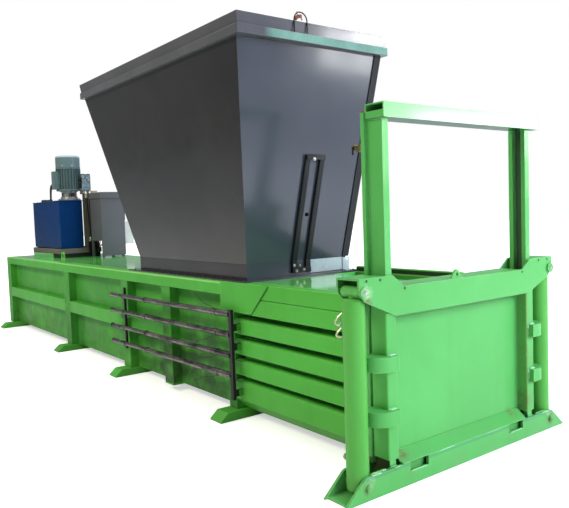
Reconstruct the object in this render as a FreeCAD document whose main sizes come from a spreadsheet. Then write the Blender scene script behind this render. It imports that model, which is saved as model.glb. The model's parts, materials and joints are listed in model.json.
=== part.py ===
import FreeCAD, Part

import math
import os

import Sketcher

# Horizontal closed-gate baler, millimetres. +X runs towards the discharge gate, +Z is up and the
# origin is the middle of the footprint on the floor. Stations are distances behind the face of the
# gate's cross-beam, because every section of the machine is set out from there.

doc = FreeCAD.newDocument("baler")
sheet = doc.addObject("Spreadsheet::Sheet", "Sizes")

SIZES = [
    # overall, plates and fits
    ("body_len", 8210), ("pin_proud", 14), ("rib_face", 610), ("wall_face", 520), ("wall_t", 10),
    ("foot_h", 70), ("floor_top", 160), ("floor_t", 20), ("rail_top", 1078), ("rail_low", 970),
    ("proud", 8), ("deck_t", 10), ("seat_gap", 0.3), ("run_gap", 0.05), ("guide_gap", 8),
    # ribs, rails and feet
    ("rib_w", 160), ("mid_low", 477), ("mid_top", 612), ("rib_two", 5480), ("rib_three", 3750),
    ("rib_four", 2828), ("rib_five", 1765), ("rib_five_w", 104), ("rail_joint", 5540),
    ("deck_front", 3700), ("bulk_t", 40),
    ("foot_one_back", 266), ("foot_two", 5463), ("foot_three", 3727), ("foot_four", 1722),
    ("foot_w", 160), ("foot_t", 10), ("foot_half", 790), ("foot_slope", 68), ("foot_toe", 12),
    ("stub_front", 2828), ("stub_rear", 2988), ("stub_low", 57),
    ("gusset_rear", 1935), ("gusset_toe", 1515), ("gusset_head", 1291), ("gusset_low", 851),
    ("gusset_t", 10), ("lug_front", 5690), ("lug_len", 140), ("lug_h", 130), ("lug_t", 12),
    # pressing chamber
    ("chamber_end", 190), ("end_rear", 505), ("slot_top", 840), ("slot_pitch", 161), ("slot_h", 48),
    ("bevel", 12), ("toe_z", 162), ("toe_in", 90), ("roof_low", 990), ("roof_t", 12),
    ("roof_rib", 130), ("roof_step", 250), ("far_lip", 42),
    # feed hopper
    ("hop_front", 1690), ("hop_rear", 3600), ("hop_half", 520), ("skirt_low", 1090),
    ("fold_z", 1210), ("flange_front", 1600), ("flange_rear", 3690), ("flange_half", 612),
    ("hop_t", 5), ("cone_h", 1673), ("cone_front", 1428), ("cone_rear", 4376), ("cone_half", 711),
    ("rim_front", 1364), ("rim_rear", 4419), ("rim_half", 747), ("rail_h", 64), ("band_h", 89),
    ("rim_t", 10), ("rim_flare", 13), ("rail_front", 1352), ("rail_back", 4406), ("rail_half", 750),
    ("angle_w", 45), ("angle_out", 25), ("angle_t", 9),
    ("bar_w", 46), ("bar_t", 24), ("bar_top", 2060), ("bar_left_low", -62), ("bar_left_high", 15),
    ("bar_right_low", 80), ("bar_right_high", 164),
    ("bail_y", -172), ("bail_r", 62), ("bail_wire", 5), ("bail_rise", 94), ("window_z", 1583),
    # gate frame
    ("plate_t", 18), ("base_half", 1075), ("base_top_half", 922), ("base_h", 133),
    ("base_deep", 190), ("base_floor_t", 10), ("notch_in", 406), ("notch_out", 566),
    ("notch_z", 79), ("base_round", 45),
    ("sill_half", 615), ("sill_top", 190), ("sill_back", 86), ("sill_t", 13),
    ("post_half", 708), ("post_lip", 660), ("post_front", 24), ("post_back", 150),
    ("post_flange", 30), ("post_web", 12), ("strip_half", 736), ("strip_front", 140),
    ("strip_back", 164), ("strip_top", 2150), ("tie_top", 965), ("top_near", -722), ("top_far", 790), ("top_z", 2110),
    ("top_h", 85), ("top_front", -6), ("top_back", 138), ("top_t", 7), ("end_top", 2152),
    # gate
    ("gate_low", 145), ("gate_high", 984), ("skin_front", 90), ("skin_t", 12), ("skin_half", 650),
    ("tongue_half", 690), ("tongue_back", 116), ("press_back", 182), ("press_half", 600),
    ("core_half", 560), ("gate_lift", 850), ("sleeve_t", 8), ("sleeve_low", 176),
    ("sleeve_top", 1140), ("sleeve_back", 132), ("sleeve_bend", 10),
    ("yoke_t", 12), ("yoke_end", 938), ("yoke_top", 1232), ("yoke_saddle", 1165), ("yoke_low", 1000),
    ("yoke_back", 170), ("yoke_cap", 745), ("cap_t", 12), ("eye_top", 1218),
    ("strap_h", 84), ("strap_t", 12), ("strap_in", 662), ("strap_stand", 26), ("strap_out", 835), ("strap_back", 132),
    ("strap_bend", 112), ("strap_one", 695), ("strap_two", 385), ("lid", 10),
    # gate cylinders
    ("lift_y", 903), ("lift_s", 85), ("pin_low", 73), ("pin_high", 1155), ("pin_r", 17.5),
    ("pin_head", 33), ("low_head", 22), ("barrel_r", 65), ("barrel_bore", 50), ("barrel_low", 42), ("bore_low", 143),
    ("barrel_top", 1120), ("gland_h", 24), ("lift_rod_r", 25), ("eye_r", 32), ("eye_len", 133),
    ("piston_clear", 3), ("piston_h", 25), ("port_r", 16), ("port_len", 26), ("port_z", 960),
    # ram and its cylinder
    ("ram_front", 3620), ("ram_len", 2460), ("ram_half", 503), ("ram_top", 978), ("ram_t", 20),
    ("ram_face_t", 60), ("ram_stroke", 2450), ("main_z", 560), ("main_r", 110), ("main_bore", 90),
    ("main_rod_r", 60), ("main_len", 2740), ("main_clear", 170), ("main_cap", 40),
    ("piston_back", 200), ("main_piston_w", 120), ("main_pin_r", 30), ("lug_gap", 60),
    # power pack
    ("tray_len", 1260), ("tray_back", 200), ("tray_near", -262), ("tray_far", 340),
    ("tray_low", 1130), ("tray_h", 72), ("tray_t", 4), ("pad_size", 90),
    ("tank_inset", 35), ("tank_near", -238), ("tank_far", 92),
    ("tank_low", 1210), ("tank_high", 1880), ("tank_t", 4), ("lid_t", 8), ("lid_lip", 8),
    ("motor_in", 155), ("motor_y", -30), ("bell_r", 105), ("bell_hole", 84), ("motor_low", 2025),
    ("motor_high", 2360), ("motor_r", 150), ("stator_r", 104), ("fin_r", 172), ("fin_t", 7),
    ("cowl_r", 168), ("cowl_top", 2525), ("cowl_t", 3), ("cowl_bend", 24), ("rotor_r", 98),
    ("shaft_r", 19), ("hub_r", 45), ("fan_r", 130), ("pump_r", 60), ("pump_low", 1700),
    ("neck_in", 375), ("neck_y", -100), ("neck_r", 30), ("neck_h", 20), ("cap_r", 42), ("cap_h", 34),
    ("panel_in", 50), ("panel_high", 1975), ("valve_near", 110), ("valve_far", 330),
    ("valve_top", 2022), ("spool_top", 2250), ("hose_r", 18), ("hose_lean", 35), ("union_z", 1290),
    ("cable_r", 7), ("riser_front", 7090), ("box_reach", 215), ("box_low_z", 2050), ("box_high_z", 2300),
    # electrical cabinet
    ("cab_floor", 1300), ("cab_post", 30),
    ("cab_len", 400), ("cab_gap", 50), ("cab_near", 180), ("cab_far", 500), ("cab_low", 1090),
    ("cab_high", 1895), ("cab_t", 4), ("hood_top", 1980), ("hood_lip", 12), ("door_t", 20),
    ("door_gap", 2), ("box_in", 30), ("box_len", 230), ("box_far", 658), ("box_low", 1240),
    ("box_high", 1560), ("stem_r", 10), ("stem_deep", 30), ("press", 5), ("stop_r", 20),
    ("button_r", 14), ("button_h", 12), ("handle_z", 1690),
    # wire tubes
    ("tube_y", 682), ("tube_one", 829), ("tube_pitch", 160), ("tube_front", 1707), ("tube_rear", 3995),
    ("tube_step", 3170), ("tube_r", 23), ("thin_r", 20), ("collar_s", 1880), ("collar_r", 26),
    ("tube_rise", 22), ("bar_one", 3695), ("bar_one_w", 20), ("bar_one_in", 650), ("bar_one_out", 672),
    ("bar_two", 1668), ("bar_two_w", 38), ("bar_two_in", 676), ("bar_two_out", 700),
    ("hang_one_low", 289), ("hang_one_top", 907), ("hang_two_low", 175), ("hang_two_top", 876),
    # limit switch
    ("switch_z", 1960), ("switch_in", 700), ("switch_len", 50), ("switch_r", 16), ("hang_w", 30),
    ("hinge_out", 10), ("knuckle_r", 9), ("hinge_pin_r", 5), ("knuckle_h", 60), ("hinge_low", 1250),
    ("hinge_high", 1700),
]


class Size:
    """A length: its value and the sheet expression it follows."""

    def __init__(self, text, value):
        self.text = text
        self.value = float(value)

    def join(self, other, sign, value, swap=False):
        first, second = (other.text, self.text) if swap else (self.text, other.text)
        return Size("(%s %s %s)" % (first, sign, second), value)

    def __add__(self, other):
        other = size(other)
        return self.join(other, "+", self.value + other.value)

    def __radd__(self, other):
        return size(other) + self

    def __sub__(self, other):
        other = size(other)
        return self.join(other, "-", self.value - other.value)

    def __rsub__(self, other):
        return size(other) - self

    def __mul__(self, other):
        other = size(other)
        return self.join(other, "*", self.value * other.value)

    def __rmul__(self, other):
        return size(other) * self

    def __truediv__(self, other):
        other = size(other)
        return self.join(other, "/", self.value / other.value)

    def __neg__(self):
        return size(0) - self


def size(amount):
    """A plain number or a Size, as a Size."""
    if isinstance(amount, Size):
        return amount
    return Size(repr(float(amount)), amount)


class Sheet:
    """The named sizes, each as a Size."""


S = Sheet()
for row, (alias, value) in enumerate(SIZES, 1):
    sheet.set("A%d" % row, alias)
    sheet.set("B%d" % row, str(value))
    sheet.setAlias("B%d" % row, alias)
    setattr(S, alias, Size("<<Sizes>>." + alias, value))
doc.recompute()

FRONT = (S.body_len - S.pin_proud) / 2
S.foot_one = S.body_len - S.foot_one_back
S.cone_top = S.fold_z + S.cone_h
S.rim_top = S.cone_top + S.rail_h + S.band_h
S.main_tail = S.body_len - S.main_clear
S.main_head = S.main_tail - S.main_len
S.main_piston = S.main_tail - S.piston_back
S.tray_rear = S.body_len - S.tray_back
S.tray_front = S.tray_rear - S.tray_len
S.tank_front = S.tray_front + S.tank_inset
S.tank_rear = S.tray_rear - S.tank_inset
S.motor_s = S.tank_front + S.motor_in
S.neck_s = S.tank_rear - S.neck_in
S.panel_s = S.tray_front + S.panel_in
S.cab_rear = S.tray_front - S.cab_gap
S.cab_front = S.cab_rear - S.cab_len
S.box_front = S.cab_front + S.box_in
S.box_rear = S.box_front + S.box_len
S.piston_low = S.bore_low + S.piston_clear
WALL_IN = S.wall_face - S.wall_t
DECK_TOP = S.rail_top - S.proud
NODES = []


def drive(obj, prop, amount):
    """Bind a property to the sheet, or set it where the amount is a plain number."""
    obj.setExpression(prop, size(amount).text)


def run(front, rear):
    """The X range between two stations behind the cross-beam's face."""
    return FRONT - rear, FRONT - front


def band(side, inner, outer):
    """The Y range between two half-widths on one side, -1 near or 1 far."""
    return (size(inner), size(outer)) if side > 0 else (-size(outer), -size(inner))


def block(xs, ys, zs):
    """A box between two values along each axis."""
    obj = doc.addObject("Part::Box", "Block")
    for prop, axis, (low, high) in zip(("Length", "Width", "Height"), "xyz", (xs, ys, zs)):
        drive(obj, prop, size(high) - low)
        drive(obj, "Placement.Base." + axis, low)
    return obj


TURNS = {
    "x": FreeCAD.Rotation(FreeCAD.Vector(0, 1, 0), 90),
    "y": FreeCAD.Rotation(FreeCAD.Vector(1, 0, 0), -90),
    "z": FreeCAD.Rotation(),
}


def rod(axis, radius, span, x, y, z, kind="Part::Cylinder"):
    """A cylinder along an axis; the coordinate along that axis comes from its span."""
    obj = doc.addObject(kind, "Rod")
    obj.Placement = FreeCAD.Placement(FreeCAD.Vector(), TURNS[axis])
    drive(obj, "Radius", radius)
    drive(obj, "Height", size(span[1]) - span[0])
    for name, amount in zip("xyz", (x, y, z)):
        drive(obj, "Placement.Base." + name, span[0] if name == axis else amount)
    return obj


def tube(axis, outer, inner, span, x, y, z):
    """A cylinder with a bore right through."""
    return cut(rod(axis, outer, span, x, y, z), rod(axis, inner, span, x, y, z))


def cut(base, *tools):
    """The base without its tools."""
    obj = doc.addObject("Part::Cut", "Cut")
    obj.Base = base
    obj.Tool = tools[0] if len(tools) == 1 else fuse(*tools)
    return obj


def fuse(*shapes):
    """One solid from several that overlap or share faces."""
    obj = doc.addObject("Part::MultiFuse", "Fuse")
    obj.Shapes = list(shapes)
    obj.Refine = True
    return obj


def pin_point(sketch, index, spot, x, y):
    """Hold one point of a sketch at an X and a Y that follow the sheet."""
    for kind, axis, amount in (("DistanceX", -2, size(x)), ("DistanceY", -1, size(y))):
        if abs(amount.value) < 1e-9:
            sketch.addConstraint(Sketcher.Constraint("PointOnObject", index, spot, axis))
            continue
        rule = sketch.addConstraint(Sketcher.Constraint(kind, -1, 1, index, spot, amount.value))
        sketch.setExpression("Constraints[%d]" % rule, amount.text)


def outline(sketch, corners):
    """A closed outline; a third entry in a corner rounds it by that radius."""
    count = len(corners)
    spots = [FreeCAD.Vector(size(c[0]).value, size(c[1]).value, 0) for c in corners]
    setback = [0.0] * count
    for i, corner in enumerate(corners):
        if len(corner) > 2:
            before = (spots[i - 1] - spots[i]).normalize()
            after = (spots[(i + 1) % count] - spots[i]).normalize()
            half = before.getAngle(after) / 2
            setback[i] = size(corner[2]).value / math.tan(half)
    lines = []
    for i in range(count):
        j = (i + 1) % count
        along = (spots[j] - spots[i]).normalize()
        start = spots[i] + along * setback[i]
        end = spots[j] - along * setback[j]
        lines.append(sketch.addGeometry(Part.LineSegment(start, end), False))
    for i, corner in enumerate(corners):
        last, following = lines[i - 1], lines[i]
        if len(corner) < 3:
            sketch.addConstraint(Sketcher.Constraint("Coincident", last, 2, following, 1))
            pin_point(sketch, following, 1, corner[0], corner[1])
            continue
        before = (spots[i - 1] - spots[i]).normalize()
        after = (spots[(i + 1) % count] - spots[i]).normalize()
        radius = size(corner[2])
        reach = radius.value / math.sin(before.getAngle(after) / 2)
        centre = spots[i] + (before + after).normalize() * reach
        first = spots[i] + before * setback[i] - centre
        second = spots[i] + after * setback[i] - centre
        left_turn = (-before.x * after.y + before.y * after.x) > 0
        if not left_turn:
            first, second = second, first
        angles = [math.atan2(v.y, v.x) for v in (first, second)]
        if angles[1] < angles[0]:
            angles[1] += 2 * math.pi
        circle = Part.Circle(centre, FreeCAD.Vector(0, 0, 1), radius.value)
        arc = sketch.addGeometry(Part.ArcOfCircle(circle, angles[0], angles[1]), False)
        sketch.addConstraint(Sketcher.Constraint("Tangent", last, 2, arc, 1 if left_turn else 2))
        sketch.addConstraint(Sketcher.Constraint("Tangent", following, 1, arc, 2 if left_turn else 1))
        rule = sketch.addConstraint(Sketcher.Constraint("Radius", arc, radius.value))
        sketch.setExpression("Constraints[%d]" % rule, radius.text)
        point = sketch.addGeometry(Part.Point(spots[i]), True)
        sketch.addConstraint(Sketcher.Constraint("PointOnObject", point, 1, last))
        sketch.addConstraint(Sketcher.Constraint("PointOnObject", point, 1, following))
        pin_point(sketch, point, 1, corner[0], corner[1])


PLANES = {"XY": "XY_Plane", "XZ": "XZ_Plane", "YZ": "YZ_Plane"}


def sketch_on(body, plane, height):
    """A sketch on one of the body's own origin planes, lifted off it by a height."""
    sketch = body.newObject("Sketcher::SketchObject", "Sketch")
    for item in body.Origin.OriginFeatures:
        if item.Role == PLANES[plane]:
            sketch.AttachmentSupport = [(item, "")]
    sketch.MapMode = "FlatFace"
    drive(sketch, "AttachmentOffset.Base.z", height)
    return sketch


def profile(plane, corners, span, holes=()):
    """A plate: an outline with round holes in a plane, thick between two values across it."""
    body = doc.addObject("PartDesign::Body", "Plate")
    low, high = size(span[0]), size(span[1])
    sketch = sketch_on(body, plane, -high if plane == "XZ" else low)
    outline(sketch, corners)
    for x, y, radius in holes:
        centre = FreeCAD.Vector(size(x).value, size(y).value, 0)
        circle = Part.Circle(centre, FreeCAD.Vector(0, 0, 1), size(radius).value)
        index = sketch.addGeometry(circle, False)
        pin_point(sketch, index, 3, x, y)
        rule = sketch.addConstraint(Sketcher.Constraint("Radius", index, size(radius).value))
        sketch.setExpression("Constraints[%d]" % rule, size(radius).text)
    pad = body.newObject("PartDesign::Pad", "Pad")
    pad.Profile = sketch
    drive(pad, "Length", high - low)
    body.Tip = pad
    return body


def taper(low_xs, low_ys, low, high_xs, high_ys, high):
    """A solid with a rectangle at two heights and flat sides between them."""
    obj = doc.addObject("Part::Wedge", "Taper")
    obj.Placement = FreeCAD.Placement(FreeCAD.Vector(), FreeCAD.Rotation(FreeCAD.Vector(1, 0, 0), 90))
    for prop, amount in (("Ymin", low), ("Ymax", high), ("Xmin", low_xs[0]), ("Xmax", low_xs[1]),
                         ("X2min", high_xs[0]), ("X2max", high_xs[1]),
                         ("Zmin", -size(low_ys[1])), ("Zmax", -size(low_ys[0])),
                         ("Z2min", -size(high_ys[1])), ("Z2max", -size(high_ys[0]))):
        drive(obj, prop, amount)
    return obj


def turned(corners, x, y):
    """A round piece about an upright axis, from its half section as radius and height."""
    body = doc.addObject("PartDesign::Body", "Turned")
    sketch = sketch_on(body, "XZ", 0)
    outline(sketch, corners)
    spin = body.newObject("PartDesign::Revolution", "Revolution")
    spin.Profile = sketch
    spin.ReferenceAxis = (sketch, ["V_Axis"])
    spin.Angle = 360
    body.Tip = spin
    drive(body, "Placement.Base.x", x)
    drive(body, "Placement.Base.y", y)
    return body


def pipe(radius, points, bend):
    """A round hose through points, with an arc at each turn."""
    path = []
    spots = [FreeCAD.Vector(*[size(v).value for v in point]) for point in points]
    at = spots[0]
    for before, corner, after in zip(spots, spots[1:], spots[2:]):
        back = (before - corner).normalize()
        ahead = (after - corner).normalize()
        half = back.getAngle(ahead) / 2
        reach = bend / math.tan(half)
        first = corner + back * reach
        second = corner + ahead * reach
        centre = corner + (back + ahead).normalize() * (bend / math.sin(half))
        middle = centre + (corner - centre).normalize() * bend
        path.append(Part.makeLine(at, first))
        path.append(Part.Arc(first, middle, second).toShape())
        at = second
    path.append(Part.makeLine(at, spots[-1]))
    ring = Part.Wire([Part.makeCircle(size(radius).value, spots[0], spots[1] - spots[0])])
    obj = doc.addObject("Part::Feature", "Hose")
    obj.Shape = Part.Wire(path).makePipeShell([ring], True, False)
    return obj


def node(name, *solids):
    """Name a piece: one solid, or several that stay separate."""
    obj = solids[0]
    if len(solids) > 1:
        obj = doc.addObject("Part::Compound", name)
        obj.Links = list(solids)
    obj.Label = name
    NODES.append((name, obj))
    return obj


# ---- body: floor, walls, ribs, rails, feet -------------------------------------------------------
rear = S.body_len
bearers = [
    block(run(S.chamber_end, rear - S.bulk_t), (y - 30, y + 30), (S.foot_h, S.floor_top - S.floor_t))
    for y in (-380, 0, 380)
]
floor = block(run(S.chamber_end, rear - S.bulk_t), (-WALL_IN, WALL_IN),
              (S.floor_top - S.floor_t, S.floor_top))
node("floor_plate", fuse(floor, *bearers))

low = S.foot_h
ribs = [rear - S.rib_w, S.rib_two, S.rib_three, S.rib_four]
for side, word in ((-1, "near"), (1, "far")):
    node("side_wall_" + word,
         block(run(S.gusset_rear, rear), band(side, WALL_IN, S.wall_face), (low, DECK_TOP - S.deck_t)))
    posts = [block(run(s, s + S.rib_w), band(side, S.wall_face, S.rib_face), (low, S.rail_low))
             for s in ribs]
    stanchion = fuse(
        block(run(S.rib_five, S.rib_five + S.rib_five_w), band(side, WALL_IN, S.rib_face),
              (low, S.rail_low)),
        block(run(S.rib_five + S.rib_five_w, S.gusset_rear), band(side, WALL_IN, S.wall_face),
              (low, S.rail_low)))
    node("side_ribs_" + word, *posts, stanchion)
    spans = [(S.rib_two + S.rib_w, rear - S.rib_w), (S.rib_three + S.rib_w, S.rib_two),
             (S.rib_four + S.rib_w, S.rib_three)]
    rails = [block(run(a, b), band(side, S.wall_face, S.rib_face), (S.mid_low, S.mid_top))
             for a, b in spans]
    rails.append(block(run(S.rail_joint, rear), band(side, S.wall_face, S.rib_face),
                       (S.rail_low, DECK_TOP)))
    rails.append(block(run(S.gusset_rear, S.rail_joint),
                       band(side, S.wall_face, S.rib_face + S.proud), (S.rail_low, S.rail_top)))
    node("side_rails_" + word, *rails)

risers = [block(run(S.riser_front, S.tray_rear - 8), ys, (DECK_TOP, S.tray_low))
          for ys in ((S.tray_near + 2, S.tray_near + 62), (S.tray_far - 62, S.tray_far - 2))]
node("deck_plate",
     block(run(S.flange_rear, rear), (-S.wall_face, S.wall_face), (DECK_TOP - S.deck_t, DECK_TOP)),
     *risers)

lug_outer = S.lug_gap + 40
bulk = block(run(rear - S.bulk_t, rear), (-WALL_IN, WALL_IN), (low, DECK_TOP - S.deck_t))
pin_s = rear - S.bulk_t - 65
lugs = []
for side in (-1, 1):
    cheek = block(run(rear - S.bulk_t - 120, rear - S.bulk_t), band(side, S.lug_gap, lug_outer),
                  (S.main_z - 80, S.main_z + 80))
    bore = rod("y", S.main_pin_r + S.run_gap, (-lug_outer, lug_outer), FRONT - pin_s, 0, S.main_z)
    lugs.append(cut(cheek, bore))
main_pin = rod("y", S.main_pin_r, (-lug_outer - 15, lug_outer + 15), FRONT - pin_s, 0, S.main_z)
node("rear_bulkhead", fuse(bulk, *lugs), main_pin)


def foot(front):
    """An inverted channel under the body, its ends folded down to the floor."""
    top_half = S.foot_half - S.foot_slope
    t = S.foot_t
    outer = profile("YZ", [(-S.foot_half, 0), (S.foot_half, 0), (S.foot_half, S.foot_toe),
                           (top_half, S.foot_h), (-top_half, S.foot_h), (-S.foot_half, S.foot_toe)],
                    run(front, front + S.foot_w))
    inner = profile("YZ", [(-S.foot_half + 3 * t, 0), (S.foot_half - 3 * t, 0),
                           (top_half - t, S.foot_h - t), (-top_half + t, S.foot_h - t)],
                    run(front + t, front + S.foot_w - t))
    return cut(outer, inner)


stubs = [block(run(S.stub_front, S.stub_rear), band(side, 420, S.rib_face), (S.stub_low, low))
         for side in (-1, 1)]
node("feet", *[foot(s) for s in (S.foot_one, S.foot_two, S.foot_three, S.foot_four)], *stubs)

gussets = [profile("XZ", [(FRONT - S.gusset_rear, S.rail_top), (FRONT - S.gusset_rear, S.gusset_low),
                          (FRONT - S.gusset_toe, S.gusset_low), (FRONT - S.gusset_head, S.rail_top)],
                   band(side, S.rib_face, S.rib_face + S.gusset_t)) for side in (-1, 1)]
node("gusset_plates", *gussets)


def lug(side):
    """A lifting lug: a plate with rounded shoulders and a hole, on top of the rail."""
    middle = S.lug_front + S.lug_len / 2
    top = S.rail_top + S.lug_h
    ahead = FRONT - S.lug_front
    behind = ahead - S.lug_len
    corners = [(behind, S.rail_top), (ahead, S.rail_top), (ahead - 18, top, 48), (behind + 18, top, 48)]
    return profile("XZ", corners, band(side, 560, 560 + S.lug_t), [(FRONT - middle, top - 52, 30)])


shoes = [block(run(S.lug_front, S.lug_front + S.lug_len), band(side, 545, 590),
               (DECK_TOP, S.rail_top)) for side in (-1, 1)]
node("lifting_lugs", lug(-1), lug(1), *shoes)

# ---- pressing chamber ----------------------------------------------------------------------------
beam_tops = [size(S.rail_low)] + [S.slot_top - S.slot_h - k * S.slot_pitch for k in range(4)]
beam_lows = [S.slot_top - k * S.slot_pitch for k in range(4)] + [size(low)]
for side, word in ((-1, "near"), (1, "far")):
    beams = []
    for top, bottom in zip(beam_tops, beam_lows):
        face = S.rib_face * side
        corners = [(WALL_IN * side, bottom), (face, bottom), (face, top - S.bevel),
                   (face - side * S.bevel, top), (WALL_IN * side, top)]
        if bottom is beam_lows[-1]:
            corners[1:2] = [(face - side * S.toe_in, bottom), (face, S.toe_z)]
        beams.append(profile("YZ", corners, run(S.end_rear, S.rib_five)))
    beams.append(block(run(S.chamber_end, S.end_rear), band(side, WALL_IN, S.rib_face),
                       (low, S.rail_low)))
    node("chamber_beams_" + word, *beams)

lip_top = S.rail_top + S.far_lip
lip = [(S.rib_face - 50, S.rail_top), (S.rib_face, S.rail_top), (S.rib_face, lip_top),
       (S.rib_face - 50, lip_top)]
node("chamber_rails",
     block(run(S.chamber_end, S.gusset_rear), (-S.rib_face, -WALL_IN), (S.rail_low, S.rail_top)),
     block(run(S.chamber_end, S.gusset_rear), (WALL_IN, S.rib_face), (S.rail_low, S.rail_top)),
     profile("YZ", lip, run(S.end_rear, S.flange_front)))

roof_run = run(S.chamber_end, S.hop_front)
roof = [block(roof_run, (-WALL_IN, WALL_IN), (S.roof_low, S.roof_low + S.roof_t)),
        block(roof_run, (-WALL_IN, S.roof_step), (S.rail_top - S.roof_t, S.rail_top))]
for s in (S.chamber_end, S.chamber_end + 660, S.hop_front - S.roof_rib):
    roof.append(block(run(s, s + S.roof_rib), (-WALL_IN, S.roof_step),
                      (S.roof_low + S.roof_t, S.rail_top - S.roof_t)))
roof.append(block(run(S.hop_front - S.roof_rib, S.hop_front), (S.roof_step, WALL_IN),
                  (S.roof_low + S.roof_t, S.rail_top)))
roof.append(block(run(S.chamber_end, S.chamber_end + S.roof_rib), (S.roof_step, WALL_IN),
                  (S.roof_low + S.roof_t, S.rail_top)))
node("chamber_roof", *roof)

# ---- gate frame ----------------------------------------------------------------------------------
notch = []
for side in (1, -1):
    ends = (S.notch_out, S.notch_in) if side > 0 else (S.notch_in, S.notch_out)
    notch += [(side * ends[0], S.base_h), (side * ends[0], S.notch_z),
              (side * ends[1], S.notch_z), (side * ends[1], S.base_h)]
ends_low = [(-S.base_half, 0), (S.base_half, 0), (S.base_top_half, S.base_h, S.base_round)]
last_end = [(-S.base_top_half, S.base_h, S.base_round)]
pin_holes = [(side * S.lift_y, S.pin_low, S.pin_r + S.run_gap) for side in (-1, 1)]
front_plate = profile("YZ", ends_low + notch + last_end, run(0, S.plate_t), pin_holes)
rear_plate = profile("YZ", ends_low + last_end, run(S.base_deep - S.plate_t, S.base_deep), pin_holes)
channel = block(run(S.plate_t, S.base_deep - S.plate_t), (-S.base_half + 20, S.base_half - 20),
                (0, S.base_floor_t))
rests = [block(run(S.skin_front + S.skin_t, S.base_deep - S.plate_t), band(side, 300, 380),
               (S.base_floor_t, S.gate_low)) for side in (-1, 1)]
low_pins = []
for side in (-1, 1):
    shank = rod("x", S.pin_r, run(0, S.base_deep + S.pin_proud), 0, side * S.lift_y, S.pin_low)
    head = rod("x", S.low_head, (FRONT, FRONT + S.pin_proud), 0, side * S.lift_y, S.pin_low)
    low_pins.append(fuse(shank, head))
node("gate_base_beam", front_plate, rear_plate, channel, *rests, *low_pins)

sill_corners = [(FRONT - S.plate_t + S.sill_t, S.base_h), (FRONT - S.plate_t, S.base_h),
                (FRONT - S.sill_back, S.sill_top - S.sill_t), (FRONT - S.sill_back, S.sill_top)]
props = [profile("XZ", [(FRONT - S.plate_t, S.base_floor_t), (FRONT - S.plate_t, S.base_h),
                        (FRONT - S.sill_back, S.sill_top - S.sill_t),
                        (FRONT - S.sill_back, S.base_floor_t)], (y - 6, y + 6)) for y in (-590, 0, 590)]
backs = [block(run(S.plate_t + 20, S.plate_t + 28), band(side, S.notch_in - 6, S.notch_out + 8),
               (S.base_floor_t, S.base_h)) for side in (-1, 1)]
node("gate_sill", profile("XZ", sill_corners, (-S.sill_half, S.sill_half)), *props, *backs)

for side, word in ((-1, "near"), (1, "far")):
    tall = (S.base_floor_t, S.top_z)
    node("guide_post_" + word,
         block(run(S.post_front, S.post_back), band(side, S.post_half - S.post_web, S.post_half), tall),
         block(run(S.post_front, S.post_front + S.post_flange),
               band(side, S.post_lip, S.post_half - S.post_web), tall),
         block(run(S.post_back - S.post_flange, S.post_back),
               band(side, S.post_lip, S.post_half - S.post_web), tall),
         block(run(S.post_back, S.chamber_end), band(side, S.rib_face, S.post_half),
               (S.base_h, S.tie_top)),
         block(run(S.strip_front, S.strip_back), band(side, S.post_half, S.strip_half),
               (S.base_h, S.strip_top)))
t = S.top_t
tall = (S.top_z, S.top_z + S.top_h)
across = (S.top_near, S.top_far)
inside = run(S.top_front + t, S.top_back - t)
hollow = block(inside, across, (S.top_z + t, S.top_z + S.top_h - t))
end_plates = [block(inside, ends, (S.top_z + t, S.end_top))
              for ends in ((S.top_near, S.top_near + t), (S.top_far - t, S.top_far))]
node("gate_top_beam", cut(block(run(S.top_front, S.top_back), across, tall), hollow), *end_plates)

barrels = []
for side in (-1, 1):
    y = side * S.lift_y
    x = FRONT - S.lift_s
    bore_low, bore_top = S.bore_low, S.barrel_top - S.gland_h
    gland = S.lift_rod_r + S.run_gap
    shell = turned([(gland, S.barrel_top), (S.barrel_r, S.barrel_top, 16), (S.barrel_r, S.barrel_low, 12),
                    (0, S.barrel_low), (0, bore_low), (S.barrel_bore, bore_low),
                    (S.barrel_bore, bore_top), (gland, bore_top)], x, y)
    ends = run(S.lift_s - S.eye_len / 2, S.lift_s + S.eye_len / 2)
    eye = rod("x", S.eye_r, ends, 0, y, S.pin_low)
    port_run = run(S.lift_s + S.barrel_r - 6, S.lift_s + S.barrel_r + S.port_len)
    ports = [tube("x", S.port_r, S.port_r - 7, port_run, 0, y, z) for z in (S.port_z, S.bore_low + 60)]
    pin_hole = rod("x", S.pin_r + S.run_gap, ends, 0, y, S.pin_low)
    barrels.append(cut(fuse(shell, eye, *ports), pin_hole))
node("lift_barrels", *barrels)

# ---- gate ----------------------------------------------------------------------------------------
skin_back = S.skin_front + S.skin_t
press_front = S.press_back - S.skin_t
core = [block(run(S.skin_front, skin_back), (-S.skin_half, S.skin_half),
              (S.gate_low, S.yoke_saddle - S.cap_t)),
        block(run(press_front, S.press_back), (-S.press_half, S.press_half), (S.gate_low, S.gate_high))]
for z in (S.gate_low, S.gate_low + 270, S.gate_low + 540, S.gate_high - S.skin_t):
    core.append(block(run(skin_back, press_front), (-S.core_half, S.core_half), (z, z + S.skin_t)))
for y in (-S.core_half, size(-6), S.core_half - S.skin_t):
    core.append(block(run(skin_back, press_front), (y, y + S.skin_t), (S.gate_low, S.gate_high)))
tongues = [block(run(skin_back, S.tongue_back), band(side, S.core_half + 15, S.tongue_half),
                 (S.gate_low, S.gate_high)) for side in (-1, 1)]
node("gate_panel", fuse(*core), *tongues)

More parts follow.
